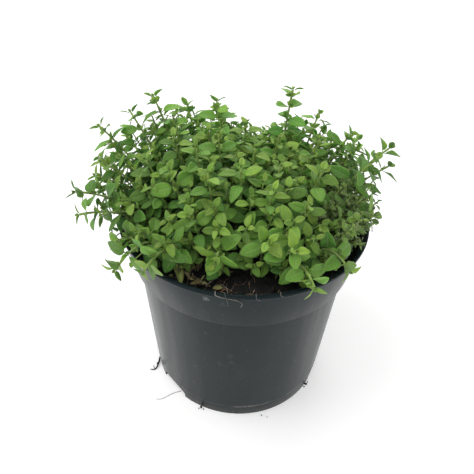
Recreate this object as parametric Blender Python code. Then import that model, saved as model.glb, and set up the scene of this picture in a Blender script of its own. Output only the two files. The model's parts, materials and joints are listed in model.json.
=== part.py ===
"""A potted oregano: a round nursery pot, its root ball and the leafy stems that stand in it.

Metres, +Z up. The origin is on the table, under the pot's axis. The plant faces -Y.
"""

import math
import random

import bmesh
import bpy
from mathutils import Matrix, Quaternion, Vector
from mathutils.bvhtree import BVHTree

MM = 0.001

# Pot
POT_SIDES = 48
POT_HEIGHT = 160 * MM
RIM_RADIUS = 95 * MM
WALL = 1.8 * MM
LIP_HEIGHT = 2.6 * MM
LIP_OVERHANG = 0.7 * MM
LIP_ROUND = 0.5 * MM
COLLAR_HEIGHT = 35.6 * MM
COLLAR_FOOT_RADIUS = 86.9 * MM
BODY_TOP_RADIUS = 83.2 * MM
BODY_FOOT_RADIUS = 75 * MM
FOOT_RING_WIDTH = 3.2 * MM
FLOOR_LIFT = 6 * MM
MIDDLE_DISC_RADIUS = 22 * MM
MIDDLE_DISC_SLOPE = 4.5 * MM
DRAIN_HOLES = 6
DRAIN_HOLE_RADIUS = 6 * MM
DRAIN_CIRCLE_RADIUS = 48 * MM
DRAIN_HOLE_SIDES = 10
NOTCH_AZIMUTHS = (-138, -18, 102)
NOTCH_WIDTH = 30 * MM
NOTCH_HEIGHT = 10.5 * MM
NOTCH_SHOULDER = 3.7 * MM
NOTCH_ARCH_STEPS = 5
NOTCH_DEPTH = 8.3 * MM
OVERCUT = 3 * MM

# Soil
GAP = 0.3 * MM
SOIL_SIDES = 24
SOIL_LEVEL = 143 * MM
SOIL_CROWN = 3 * MM
SOIL_LUMP = 0.9 * MM
SOIL_LUMP_SIZE = 10 * MM
SOIL_RINGS = (0.8, 0.52, 0.24)
STEM_HOLE_DEPTH = 9 * MM

# Stems and leaves
STEM_WIDTH = 1.7 * MM
TIP_WIDTH = 1.2 * MM
STEM_RINGS = 6
KNEE_SHARE = 0.3
BLADE_THICKNESS = 0.62 * MM
CLEARANCE = 0.35 * MM
ROOT_OFFSET = 0.25 * MM
LEAF_LENGTH = 15.5 * MM
LEAF_WIDTH = 10.2 * MM
NEAR = 1.25 * LEAF_LENGTH
PETIOLE_SHARE = 0.16
LEADING_VIGOUR = (0.98, 1.14)
FILL_VIGOUR = (0.84, 1.06)
BREADTH = (0.76, 1.04)
SIZE_SPREAD = (0.92, 1.06)
DROOP = (0.06, 0.5)
SPIN_SPREAD = 16
TILT_SPREAD = 16
ROLL_SPREAD = 30
# How leaves turn to the light: the light's direction over the middle and how much it spreads outwards,
# the shares by which the face turns to it and the leaf levels, and how far from the tip that is complete
LIGHT = (0, -1.1, 1)
OUTWARD_LIGHT = 0.45
LIGHT_SHARE = 0.64
LEVEL_SHARE = 0.35
OPEN_DISTANCE = 9 * MM
# How far a leaf that finds no room is turned and tilted, in degrees, and how much it shrinks
LEAF_TRIES = ((0, 0, 1), (18, 0, 1), (-18, 0, 1), (0, 14, 1), (0, -16, 1), (30, 8, 0.9), (-30, 8, 0.9),
              (14, -22, 0.85), (-14, 22, 0.85), (0, 0, 0.75), (34, -12, 0.7), (-34, 16, 0.7))

# Each pair of leaves on a stem, from the tip down: the distance from the tip, the size as a share of
# the full leaf, and the angle between leaf and stem
PAIRS = ((0.6 * MM, 0.56, 42), (5.5 * MM, 0.86, 60), (13 * MM, 1.02, 68), (22 * MM, 1.04, 76), (32 * MM, 0.92, 84))

# The stems that give the plant its outline: where each tip is and how high the stem rises above the
# soil before it leans, in millimetres, and its root's distance from the axis as a share of the tip's
LEADING_STEMS = (
    ((34, 60, 233), 50, 0.80),
    ((-75, 60, 223), 42, 0.64),
    ((-90, 42, 217), 36, 0.62),
    ((-111, 28, 211), 34, 0.56),
    ((-52, 90, 204), 32, 0.70),
    ((-26, 80, 213), 36, 0.74),
    ((-22, 106, 192), 26, 0.72),
    ((16, 104, 172), 22, 0.74),
    ((11, 80, 182), 26, 0.76),
    ((60, 78, 207), 34, 0.72),
    ((48, 102, 190), 26, 0.70),
    ((84, 56, 200), 30, 0.68),
    ((108, 27, 203), 32, 0.57),
    ((105, 10, 197), 32, 0.59),
    ((92, 2, 206), 36, 0.64),
    ((91, -30, 179), 36, 0.62),
    ((68, -74, 167), 40, 0.66),
    ((44, -90, 166), 36, 0.70),
    ((-104, -2, 198), 32, 0.58),
    ((-120, -20, 183), 32, 0.56),
    ((-116, -32, 172), 30, 0.58),
    ((-98, -36, 176), 34, 0.60),
    ((-84, -70, 156), 38, 0.63),
    ((-62, -83, 167), 40, 0.66),
    ((-18, -76, 172), 34, 0.74),
)

# The stems that fill the plant in between, on a sunflower spiral. The plant's top drops towards the rim,
# far at the front and little at the back, and one patch near the front is bare.
FILL_SEED = 7
FILL_STEMS = 160
MOST_STEMS = 46
FILL_CENTRE = (0, 6 * MM)
FILL_RADIUS = 95 * MM
FILL_TOP = 212 * MM
FRONT_DROP = 42 * MM
BACK_DROP = 10 * MM
FILL_SPACING = 24.5 * MM
BARE_PATCH = (-24 * MM, -86 * MM)
BARE_REACH = (38 * MM, 15 * MM)
FILL_ROOT_SHARE = 0.76
FILL_RISE = 30 * MM
FILL_PAIRS = 4
GOLDEN_ANGLE = math.radians(137.508)
HEIGHT_SPREAD = 5 * MM

# Finishes
SHARP_ANGLE = math.radians(32)
POT_COLOUR = (0.042, 0.050, 0.050)
SOIL_COLOUR = (0.012, 0.009, 0.007)
LEAF_COLOUR = (0.12, 0.26, 0.045)


def clear_scene():
    for obj in list(bpy.data.objects):
        bpy.data.objects.remove(obj, do_unlink=True)


def material(name, colour, roughness):
    made = bpy.data.materials.new(name)
    made.use_nodes = True
    shader = made.node_tree.nodes["Principled BSDF"]
    shader.inputs["Base Color"].default_value = (*colour, 1)
    shader.inputs["Roughness"].default_value = roughness
    shader.inputs["Metallic"].default_value = 0
    return made


def add_object(name, mesh, finish=None, collection=None):
    obj = bpy.data.objects.new(name, mesh)
    (collection or bpy.context.scene.collection).objects.link(obj)
    if finish:
        mesh.materials.append(finish)
    return obj


def mesh_of(name, vertices, faces):
    mesh = bpy.data.meshes.new(name)
    mesh.from_pydata([tuple(v) for v in vertices], [], faces)
    return mesh


def turned(name, profile, sides, lift=None):
    """A closed solid of revolution. The profile runs from the axis, out and up, and back to the axis."""
    form = bmesh.new()
    points = [form.verts.new((radius, 0, height)) for radius, height in profile]
    edges = [form.edges.new(pair) for pair in zip(points, points[1:])]
    bmesh.ops.spin(form, geom=points + edges, axis=(0, 0, 1), cent=(0, 0, 0), angle=math.tau,
                   steps=sides, use_merge=True)
    bmesh.ops.remove_doubles(form, verts=form.verts, dist=0.01 * MM)
    bmesh.ops.recalc_face_normals(form, faces=form.faces)
    if lift:
        for vertex in form.verts:
            vertex.co.z += lift(vertex.co)
    mesh = bpy.data.meshes.new(name)
    form.to_mesh(mesh)
    form.free()
    return mesh


def combine(obj, others, operation):
    """Cuts a collection out of an object or joins it on as one solid, and removes the collection."""
    modifier = obj.modifiers.new(operation.title(), "BOOLEAN")
    modifier.operation = operation
    modifier.solver = "EXACT"
    modifier.operand_type = "COLLECTION"
    modifier.collection = others
    graph = bpy.context.evaluated_depsgraph_get()
    result = bpy.data.meshes.new_from_object(obj.evaluated_get(graph))
    obj.modifiers.clear()
    obj.data = result
    for other in list(others.objects):
        bpy.data.objects.remove(other, do_unlink=True)
    bpy.data.collections.remove(others)


def new_collection(name):
    made = bpy.data.collections.new(name)
    bpy.context.scene.collection.children.link(made)
    return made


def shade(obj):
    obj.data.shade_smooth()
    obj.data.set_sharp_from_angle(angle=SHARP_ANGLE)


# Pot

def pot_profile():
    """The outside from the middle of the base up to the rim, then the inside back down."""
    collar_foot = POT_HEIGHT - COLLAR_HEIGHT
    lip_foot = POT_HEIGHT - LIP_HEIGHT
    lip_inner = RIM_RADIUS - LIP_OVERHANG
    slope_end = MIDDLE_DISC_RADIUS + MIDDLE_DISC_SLOPE
    ring_inner = BODY_FOOT_RADIUS - FOOT_RING_WIDTH
    floor_top = FLOOR_LIFT + WALL
    return [
        (0, 0),
        (MIDDLE_DISC_RADIUS, 0),
        (slope_end, FLOOR_LIFT),
        (ring_inner - WALL, FLOOR_LIFT),
        (ring_inner, 0),
        (BODY_FOOT_RADIUS, 0),
        (BODY_TOP_RADIUS, collar_foot),
        (COLLAR_FOOT_RADIUS, collar_foot),
        (lip_inner, lip_foot - LIP_ROUND),
        (RIM_RADIUS, lip_foot),
        (RIM_RADIUS, POT_HEIGHT - LIP_ROUND),
        (RIM_RADIUS - LIP_ROUND, POT_HEIGHT),
        (lip_inner - WALL, POT_HEIGHT),
        (COLLAR_FOOT_RADIUS - WALL, collar_foot + WALL),
        (BODY_TOP_RADIUS - WALL, collar_foot + WALL),
        (BODY_FOOT_RADIUS - WALL, floor_top),
        (slope_end, floor_top),
        (MIDDLE_DISC_RADIUS, WALL),
        (0, WALL),
    ]


def notch_mesh(azimuth):
    """A cutter with a round top that goes through the foot of the wall."""
    half = NOTCH_WIDTH / 2
    outline = [(-half, -OVERCUT)]
    for step in range(NOTCH_ARCH_STEPS + 1):
        turn = math.pi * (1 - step / NOTCH_ARCH_STEPS)
        height = NOTCH_SHOULDER + (NOTCH_HEIGHT - NOTCH_SHOULDER) * math.sin(turn)
        outline.append((half * math.cos(turn), height))
    outline.append((half, -OVERCUT))
    near = BODY_FOOT_RADIUS - NOTCH_DEPTH
    far = BODY_FOOT_RADIUS + OVERCUT
    count = len(outline)
    vertices = [(reach, aside, height) for reach in (near, far) for aside, height in outline]
    faces = [tuple(range(count)), tuple(range(count, 2 * count))]
    faces += [(i, (i + 1) % count, (i + 1) % count + count, i + count) for i in range(count)]
    mesh = mesh_of("notch", vertices, faces)
    mesh.transform(Matrix.Rotation(math.radians(azimuth), 4, "Z"))
    return outward(mesh)


def outward(mesh):
    form = bmesh.new()
    form.from_mesh(mesh)
    bmesh.ops.recalc_face_normals(form, faces=form.faces)
    form.to_mesh(mesh)
    form.free()
    return mesh


def drain_mesh(centre):
    """A cutter for one round drainage hole through the raised ring of the floor."""
    form = bmesh.new()
    depth = FLOOR_LIFT + WALL + 2 * OVERCUT
    bmesh.ops.create_cone(form, cap_ends=True, segments=DRAIN_HOLE_SIDES, radius1=DRAIN_HOLE_RADIUS,
                          radius2=DRAIN_HOLE_RADIUS, depth=depth)
    bmesh.ops.translate(form, verts=form.verts, vec=(*centre, FLOOR_LIFT + WALL / 2))
    mesh = bpy.data.meshes.new("drain")
    form.to_mesh(mesh)
    form.free()
    return mesh


def make_pot(finish):
    pot = add_object("pot", turned("pot", pot_profile(), POT_SIDES), finish)
    cutters = new_collection("pot cutters")
    for azimuth in NOTCH_AZIMUTHS:
        add_object("notch", notch_mesh(azimuth), collection=cutters)
    for hole in range(DRAIN_HOLES):
        turn = math.tau * (hole + 0.5) / DRAIN_HOLES
        centre = (DRAIN_CIRCLE_RADIUS * math.cos(turn), DRAIN_CIRCLE_RADIUS * math.sin(turn))
        add_object("drain", drain_mesh(centre), collection=cutters)
    combine(pot, cutters, "DIFFERENCE")
    shade(pot)
    return pot


# Soil

def soil_height(x, y):
    """The soil's top: slightly crowned, with low lumps."""
    radius = math.hypot(x, y)
    crown = SOIL_CROWN * (1 - (radius / RIM_RADIUS) ** 2)
    lumps = SOIL_LUMP * math.sin(x / SOIL_LUMP_SIZE) * math.cos(y / SOIL_LUMP_SIZE)
    return SOIL_LEVEL + crown + lumps


def soil_profile():
    slope_end = MIDDLE_DISC_RADIUS + MIDDLE_DISC_SLOPE
    floor = FLOOR_LIFT + WALL + GAP
    collar_foot = POT_HEIGHT - COLLAR_HEIGHT
    foot = BODY_FOOT_RADIUS - WALL - GAP
    body = BODY_TOP_RADIUS - WALL - GAP
    collar = COLLAR_FOOT_RADIUS - WALL - GAP
    taper = (RIM_RADIUS - LIP_OVERHANG - COLLAR_FOOT_RADIUS) / COLLAR_HEIGHT
    edge = collar + taper * (SOIL_LEVEL - collar_foot - WALL)
    return [
        (0, WALL + GAP),
        (MIDDLE_DISC_RADIUS - GAP, WALL + GAP),
        (slope_end - GAP, floor),
        (foot, floor),
        (body, collar_foot + WALL + GAP),
        (collar, collar_foot + WALL + GAP),
        (edge, SOIL_LEVEL),
        *((edge * share, SOIL_LEVEL) for share in SOIL_RINGS),
        (0, SOIL_LEVEL),
    ]


def make_soil(finish, stems):
    def lift(co):
        return soil_height(co.x, co.y) - SOIL_LEVEL if co.z > SOIL_LEVEL - GAP else 0

    soil = add_object("soil", turned("soil", soil_profile(), SOIL_SIDES, lift), finish)
    holes = new_collection("stem holes")
    for stem in stems:
        foot = stem["path"][0]
        shaft = [foot - Vector((0, 0, GAP)), foot + Vector((0, 0, 2 * STEM_HOLE_DEPTH))]
        width = STEM_WIDTH + 2 * GAP
        mesh = mesh_of("hole", *square_tube(shaft, width, width, stem["turn"]))
        add_object("hole", outward(mesh), collection=holes)
    combine(soil, holes, "DIFFERENCE")
    shade(soil)
    return soil


# Stems

def bend(foot, knee, tip, share):
    """A point on the curve that leaves the foot towards the knee and ends at the tip."""
    near = foot.lerp(knee, share)
    far = knee.lerp(tip, share)
    return near.lerp(far, share)


def stem_path(foot, tip, rise, rings):
    """Upright out of the soil to the mouth of its hole, then curving out to the tip."""
    mouth = Vector((foot.x, foot.y, soil_height(foot.x, foot.y) + STEM_WIDTH))
    lean = (tip - mouth) * Vector((1, 1, 0))
    knee = mouth + lean * KNEE_SHARE + Vector((0, 0, rise))
    return [foot] + [bend(mouth, knee, tip, step / (rings - 2)) for step in range(rings - 1)]


def along(path, distance):
    """The point, the direction and the next point's number on a path, at a distance down from its tip."""
    for number in range(len(path) - 1, 0, -1):
        upper, lower = path[number], path[number - 1]
        length = (upper - lower).length
        if distance <= length:
            return upper.lerp(lower, distance / length), (upper - lower).normalized(), number
        distance -= length
    return path[0], Vector((0, 0, 1)), 0


def cross_directions(path, turn):
    """The axis and a direction across it at each point of a path, carried up it without a twist."""
    side = Vector((math.cos(turn), math.sin(turn), 0))
    directions = []
    for index in range(len(path)):
        axis = (path[min(index + 1, len(path) - 1)] - path[max(index - 1, 0)]).normalized()
        side = (side - axis * side.dot(axis)).normalized()
        directions.append((axis, side))
    return directions


def square_tube(path, foot_width, tip_width, turn):
    """The square stem as vertices and faces, thinner towards its tip."""
    vertices, faces = [], []
    for index, (point, (axis, side)) in enumerate(zip(path, cross_directions(path, turn))):
        other = axis.cross(side)
        half = (foot_width + (tip_width - foot_width) * index / (len(path) - 1)) / 2
        for a, b in ((1, 1), (-1, 1), (-1, -1), (1, -1)):
            vertices.append(point + side * a * half + other * b * half)
    for ring in range(len(path) - 1):
        for corner in range(4):
            a, b = ring * 4 + corner, ring * 4 + (corner + 1) % 4
            faces.append((a, b, b + 4, a + 4))
    top = len(vertices) - 4
    faces += [(3, 2, 1, 0), (top, top + 1, top + 2, top + 3)]
    return vertices, faces


def is_bare(x, y):
    return math.hypot((x - BARE_PATCH[0]) / BARE_REACH[0], (y - BARE_PATCH[1]) / BARE_REACH[1]) < 1


def place_stems():
    """Every stem's foot, tip and bend: the leading ones, then those of the spiral that find room."""
    draw = random.Random(FILL_SEED)
    stems = []
    for place, rise, root_share in LEADING_STEMS:
        add_stem(stems, Vector(place) * MM, rise * MM, root_share, len(PAIRS), LEADING_VIGOUR, draw)
    for index in range(FILL_STEMS):
        radius = FILL_RADIUS * math.sqrt((index + 0.5) / FILL_STEMS)
        turn = index * GOLDEN_ANGLE
        x, y = FILL_CENTRE[0] + radius * math.cos(turn), FILL_CENTRE[1] + radius * math.sin(turn)
        edge_drop = BACK_DROP + (FRONT_DROP - BACK_DROP) * (1 - math.sin(turn)) / 2
        drop = edge_drop * (radius / FILL_RADIUS) ** 3
        tip = Vector((x, y, FILL_TOP - drop + draw.uniform(-HEIGHT_SPREAD, HEIGHT_SPREAD)))
        crowded = any((tip - stem["tip"]).to_2d().length < FILL_SPACING for stem in stems)
        crowded = crowded or is_bare(x, y)
        if not crowded and len(stems) < MOST_STEMS:
            add_stem(stems, tip, FILL_RISE, FILL_ROOT_SHARE, FILL_PAIRS, FILL_VIGOUR, draw)
    return stems


def add_stem(stems, tip, rise, root_share, pairs, vigours, draw):
    """Adds a stem, unless it would cross one that stands already."""
    root = tip.to_2d() * root_share
    foot = Vector((root.x, root.y, soil_height(root.x, root.y) - STEM_HOLE_DEPTH))
    path = stem_path(foot, tip, rise, STEM_RINGS)
    turn = draw.uniform(0, math.pi / 2)
    vigour = draw.uniform(*vigours)
    breadth = draw.uniform(*BREADTH)
    tree = tree_of(square_tube(path, STEM_WIDTH + 2 * CLEARANCE, TIP_WIDTH + 2 * CLEARANCE, turn))
    if not any(tree.overlap(stem["tree"]) for stem in stems):
        stems.append({"tip": tip, "path": path, "turn": turn, "vigour": vigour, "breadth": breadth,
                      "pairs": pairs, "tree": tree, "leaves": []})


# Leaves

def leaf_rows(length):
    """Where the blade's outline turns, as shares of its length, and its half width there as a share."""
    if length < 0.72 * LEAF_LENGTH:
        return ((0.42, 0.46),)
    if length < 1.02 * LEAF_LENGTH:
        return ((0.30, 0.47), (0.76, 0.38))
    return ((0.16, 0.40), (0.46, 0.50), (0.84, 0.33))


def leaf_mesh(root, direction, face, length, width, droop, swell=0.0):
    """A thin ovate blade on a short petiole, arched down, as vertices and faces."""
    across = direction.cross(face).normalized()
    petiole = length * PETIOLE_SHARE

    def place(distance, aside, level):
        sag = droop * distance * distance / length
        return root + direction * distance + across * aside + face * (level - sag)

    rows = [(petiole + share * (length - petiole), half * width + swell) for share, half in leaf_rows(length)]
    tip = length + swell
    count = 2 * len(rows) + 2
    vertices = []
    for level in (BLADE_THICKNESS / 2 + swell, -BLADE_THICKNESS / 2 - swell):
        vertices.append(place(-swell, 0, level))
        for distance, half in rows:
            vertices += [place(distance, half, level), place(distance, -half, level)]
        vertices.append(place(tip, 0, level))
    last = len(rows) - 1
    upper = [(0, 1, 2), (count - 1, 2 * last + 2, 2 * last + 1)]
    upper += [(2 * row + 1, 2 * row + 3, 2 * row + 4, 2 * row + 2) for row in range(last)]
    lower = [tuple(corner + count for corner in face_corners[::-1]) for face_corners in upper]
    rim = [0] + [2 * row + 1 for row in range(last + 1)] + [count - 1]
    rim += [2 * row + 2 for row in range(last, -1, -1)]
    sides = [(a, b, b + count, a + count) for a, b in zip(rim, rim[1:] + rim[:1])]
    return vertices, upper + lower + sides


def tree_of(piece):
    vertices, faces = piece
    return BVHTree.FromPolygons([tuple(v) for v in vertices], faces)


def leaf_pose(stem, pair, side, spin, tilt, roll):
    """Where one leaf of a pair starts, which way it points and which way its upper face looks."""
    distance, _, angle = PAIRS[pair]
    point, axis, number = along(stem["path"], distance)
    across = cross_directions(stem["path"], stem["turn"])[number][1]
    across = (across - axis * across.dot(axis)).normalized()
    turn = math.pi / 2 * pair + math.pi * side + math.radians(spin)
    level = across * math.cos(turn) + axis.cross(across) * math.sin(turn)
    lean = math.radians(angle + tilt)
    direction = axis * math.cos(lean) + level * math.sin(lean)
    face = axis * math.sin(lean) - level * math.cos(lean)
    opened = min(1, distance / OPEN_DISTANCE)
    direction.z *= 1 - LEVEL_SHARE * opened
    direction.normalize()
    light = Vector(LIGHT) + Vector((point.x, point.y, 0)) / RIM_RADIUS * OUTWARD_LIGHT
    face = face.lerp(light.normalized(), LIGHT_SHARE * opened)
    face = (face - direction * face.dot(direction)).normalized()
    face.rotate(Quaternion(direction, math.radians(roll)))
    return point + level * ROOT_OFFSET, direction, face


def grow_leaves(stems, obstacles):
    """Every leaf that finds room. Each is tried turned, tilted and smaller before it is left out."""
    draw = random.Random(FILL_SEED + 1)
    placed = []
    for pair in range(len(PAIRS)):
        for owner, stem in enumerate(stems):
            for side in (0, 1) if pair < stem["pairs"] else ():
                leaf = fit_leaf(stems, owner, pair, side, placed, obstacles, draw)
                if leaf:
                    stem["leaves"].append(leaf)


def fit_leaf(stems, owner, pair, side, placed, obstacles, draw):
    stem = stems[owner]
    share = PAIRS[pair][1] * stem["vigour"] * draw.uniform(*SIZE_SPREAD)
    droop = draw.uniform(*DROOP)
    spin_drawn = draw.uniform(-SPIN_SPREAD, SPIN_SPREAD)
    tilt_drawn = draw.uniform(-TILT_SPREAD, TILT_SPREAD)
    roll = draw.uniform(-ROLL_SPREAD, ROLL_SPREAD)
    for spin, tilt, scale in LEAF_TRIES:
        pose = leaf_pose(stem, pair, side, spin_drawn + spin, tilt_drawn + tilt, roll)
        length = LEAF_LENGTH * share * scale
        width = LEAF_WIDTH * share * scale * stem["breadth"]
        middle = pose[0] + pose[1] * length / 2
        wide_tree = tree_of(leaf_mesh(*pose, length, width, droop, CLEARANCE))
        own_tree = tree_of(leaf_mesh(*pose, length, width, droop))
        if any(wide_tree.overlap(tree) for tree in obstacles):
            continue
        if any(wide_tree.overlap(other["tree"]) for i, other in enumerate(stems) if i != owner):
            continue
        near = [leaf for leaf in placed if (leaf[1] - middle).length < NEAR]
        if any((own_tree if who == owner else wide_tree).overlap(tree) for who, _, tree in near):
            continue
        placed.append((owner, middle, own_tree))
        return leaf_mesh(*pose, length, width, droop)
    return None


def make_stem(name, stem, finish):
    """One stem with its leaves, as one solid."""
    vertices, faces = square_tube(stem["path"], STEM_WIDTH, TIP_WIDTH, stem["turn"])
    obj = add_object(name, outward(mesh_of(name, vertices, faces)), finish)
    leaves = new_collection(name + " leaves")
    for leaf in stem["leaves"]:
        add_object("leaf", outward(mesh_of("leaf", *leaf)), collection=leaves)
    combine(obj, leaves, "UNION")
    shade(obj)
    return obj


def main():
    clear_scene()
    pot = make_pot(material("pot_plastic", POT_COLOUR, 0.45))
    stems = place_stems()
    soil = make_soil(material("potting_soil", SOIL_COLOUR, 0.95), stems)
    obstacles = []
    for obj in (pot, soil):
        vertices = [vertex.co.copy() for vertex in obj.data.vertices]
        faces = [tuple(polygon.vertices) for polygon in obj.data.polygons]
        obstacles.append(tree_of((vertices, faces)))
    grow_leaves(stems, obstacles)
    leaf_finish = material("oregano_leaf", LEAF_COLOUR, 0.6)
    for number, stem in enumerate(stems, 1):
        make_stem(f"stem_{number:02d}", stem, leaf_finish)


main()
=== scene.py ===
"""The looks of the potted oregano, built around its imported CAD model.

Metres, +Z up, in the frame of the CAD: the origin is on the table, under the pot's axis, and the plant
faces -Y. The CAD's stems are grown again here by the same rules and from the same seeds, with finer leaves,
and more shoots fill the plant between them.
"""

import json
import math
import random

import bmesh
import bpy
import numpy as np
from mathutils import Matrix, Quaternion, Vector, noise
from mathutils.bvhtree import BVHTree

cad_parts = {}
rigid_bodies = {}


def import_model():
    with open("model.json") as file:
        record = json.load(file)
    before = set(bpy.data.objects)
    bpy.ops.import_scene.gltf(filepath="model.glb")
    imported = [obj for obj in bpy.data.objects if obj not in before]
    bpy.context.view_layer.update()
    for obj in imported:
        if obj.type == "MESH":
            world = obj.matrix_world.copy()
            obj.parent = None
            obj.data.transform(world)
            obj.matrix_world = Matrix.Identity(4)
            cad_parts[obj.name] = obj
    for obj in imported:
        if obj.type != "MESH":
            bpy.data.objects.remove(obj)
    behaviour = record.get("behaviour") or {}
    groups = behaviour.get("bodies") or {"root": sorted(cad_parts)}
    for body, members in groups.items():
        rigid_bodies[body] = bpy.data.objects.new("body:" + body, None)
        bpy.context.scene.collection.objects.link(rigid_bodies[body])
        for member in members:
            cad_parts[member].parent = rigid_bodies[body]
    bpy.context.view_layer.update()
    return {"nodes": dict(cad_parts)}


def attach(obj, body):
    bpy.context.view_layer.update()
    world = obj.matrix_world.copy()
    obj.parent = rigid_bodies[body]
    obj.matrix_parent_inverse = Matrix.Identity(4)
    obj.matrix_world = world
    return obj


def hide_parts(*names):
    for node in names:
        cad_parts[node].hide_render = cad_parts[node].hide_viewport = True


MM = 0.001
UP = Vector((0, 0, 1))

# Camera, fitted to the pot's rim, collar foot and base in the photograph
SENSOR = 36
LENS = 36.18
CLIP_START = 10 * MM
CAMERA_PLACE = Vector((-4.7, -303.7, 368.05)) * MM
CAMERA_TARGET = Vector((-4.7, 0, 132.95)) * MM
CAMERA_ROLL = math.radians(2.33)

# Studio, with each light's name, place, size and power
WHITE = (1, 1, 1)
SKY_STRENGTH = 0.60
FLOOR_SIZE = 12
FLOOR_FINISH = {"Base Color": (0.92, 0.92, 0.915), "Roughness": 0.7, "Specular IOR Level": 0.2,
                "Emission Color": WHITE, "Emission Strength": 0.31}
LIGHT_AIM = Vector((0, 0, 0.15))
LIGHTS = (
    ("key_light", (-0.9, -0.05, 1.7), 1.3, 13.6),
    ("front_light", (0.25, -1.25, 1.75), 1.6, 6.2),
    ("back_light", (0.1, 1.3, 1.2), 1.2, 6.0),
)

# Pot, with the CAD's sizes
POT_SIDES = 168
POT_HEIGHT = 160 * MM
RIM_RADIUS = 95 * MM
WALL = 1.8 * MM
LIP_HEIGHT = 2.6 * MM
LIP_OVERHANG = 0.7 * MM
LIP_ROUND = 0.5 * MM
COLLAR_HEIGHT = 35.6 * MM
COLLAR_FOOT = POT_HEIGHT - COLLAR_HEIGHT
COLLAR_FOOT_RADIUS = 86.9 * MM
BODY_TOP_RADIUS = 83.2 * MM
BODY_FOOT_RADIUS = 75 * MM
FOOT_RING_WIDTH = 3.2 * MM
FOOT_BAND_HEIGHT = 12 * MM
FOOT_BAND_STEP = 0.35 * MM
FLOOR_LIFT = 6 * MM
MIDDLE_DISC_RADIUS = 22 * MM
SLOPE_END = MIDDLE_DISC_RADIUS + 4.5 * MM
DRAIN_HOLES = 6
DRAIN_HOLE_RADIUS = 6 * MM
DRAIN_CIRCLE_RADIUS = 48 * MM
DRAIN_HOLE_SIDES = 36
NOTCH_AZIMUTHS = (-138, -18, 102)
NOTCH_WIDTH = 30 * MM
NOTCH_HEIGHT = 10.5 * MM
NOTCH_SHOULDER = 3.7 * MM
NOTCH_ARCH_STEPS = 20
NOTCH_DEPTH = 8.3 * MM
OVERCUT = 3 * MM
EDGE_ROUND = 0.7 * MM
ROUND_STEPS = 3
SHARP_ANGLE = math.radians(34)

# The plastic's colours, how strongly it mirrors, less on the collar, where the weaker mirroring is painted
# shade for the darker surroundings it reflects, and the sheen of its dust
PLASTIC = (0.0034, 0.0100, 0.0112)
DUSTY_PLASTIC = (0.0135, 0.0228, 0.0242)
FOOT_DIRT = (0.062, 0.052, 0.047)
DIRT_LINE = (0.15, 0.145, 0.138)
FLECK = (0.10, 0.105, 0.10)
SCUFF = (0.20, 0.21, 0.21)
DIRT = (0.002, 0.002, 0.002)
BODY_SPECULAR = 0.145
# The collar's weaker mirroring is painted shade
COLLAR_PAINTED_SHADE_SPECULAR = 0.09
DUST_SHEEN = {"Sheen Weight": 0.10, "Sheen Roughness": 0.28}
# The marks' places and radii in millimetres, and the scuffs' strength
MARK_CORE = 0.4
SCUFFS = (
    ((-23, -90.8, 152.6), 3.4, 0.8), ((-31, -85, 153.5), 1.8, 0.4), ((-12, -91, 151), 2.0, 0.3),
    ((-6, -80, 84), 3.4, 0.16), ((-5, -79.5, 76), 3.0, 0.16), ((-14, -79, 72), 2.6, 0.18),
    ((36, -71, 92), 2.6, 0.2),
)
DIRT_SPOTS = (((-27.5, -76.6, 95), 1.1), ((63, -44.5, 42), 0.9), ((40, -66, 30), 0.7))

# Soil, with the CAD's sizes, a finer grain and its colours
GAP = 0.3 * MM
SOIL_LEVEL = 143 * MM
SOIL_CROWN = 3 * MM
SOIL_LUMP = 0.9 * MM
SOIL_LUMP_SIZE = 10 * MM
SOIL_SIDES = 200
SOIL_RINGS = 62
SOIL_GRAIN = 1.7 * MM
SOIL_GRAIN_SIZE = 4.5 * MM
SOIL_GRAIN_EDGE = 3 * MM
STEM_HOLE_DEPTH = 9 * MM
BLACK_SOIL = (0.0014, 0.0013, 0.0013)
BROWN_SOIL = (0.0046, 0.0039, 0.0036)
PALE_CRUMB = (0.026, 0.021, 0.017)

# Dry plant fibre: the dark and the light colour of each finish
BARKS = {
    "dark_bark": ((0.005, 0.0040, 0.0035), (0.026, 0.018, 0.013)),
    "dry_fibre": ((0.20, 0.10, 0.05), (0.64, 0.42, 0.25)),
    "pale_root": ((0.15, 0.135, 0.12), (0.36, 0.33, 0.30)),
    "black_root": ((0.004, 0.0035, 0.004), (0.020, 0.015, 0.015)),
    "dry_twig": ((0.055, 0.036, 0.022), (0.19, 0.14, 0.075)),
}

# Leaf and stem colours by age, from the youngest to the withered. The old green at 0.78 is darker than age
# alone makes it, as painted shade for the leaves deep in the plant
LEAF_COLOURS_AND_PAINTED_SHADE = (
    (0.0, (0.245, 0.385, 0.040)),
    (0.16, (0.138, 0.294, 0.028)),
    (0.45, (0.068, 0.224, 0.020)),
    # Painted shade: this darkest old green stands in for the shade deep in the plant
    (0.78, (0.028, 0.126, 0.009)),
    (0.87, (0.320, 0.340, 0.080)),
    (0.91, (0.190, 0.115, 0.060)),
    (1.0, (0.075, 0.034, 0.030)),
)
STEM_COLOURS = (
    (0.0, (0.27, 0.40, 0.095)),
    (0.45, (0.22, 0.30, 0.085)),
    (0.8, (0.13, 0.115, 0.050)),
    (1.0, (0.045, 0.030, 0.020)),
)
MOTTLED_LEAF = (0.125, 0.25, 0.06)
DULL_LEAF = (0.075, 0.074, 0.038)
DRY_EDGE = (0.075, 0.040, 0.022)
VEIN = (0.25, 0.38, 0.13)
LEAF_RIM = (0.25, 0.36, 0.12)
UNDERSIDE = (0.155, 0.235, 0.105)
LEAF_FINISH = {
    "Specular IOR Level": 0.30, "Sheen Weight": 0.11, "Sheen Roughness": 0.45,
    "Sheen Tint": (0.85, 0.95, 0.9), "Subsurface Weight": 0.34,
    "Subsurface Radius": (0.5, 1.0, 0.25), "Subsurface Scale": 0.0014,
}

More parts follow.
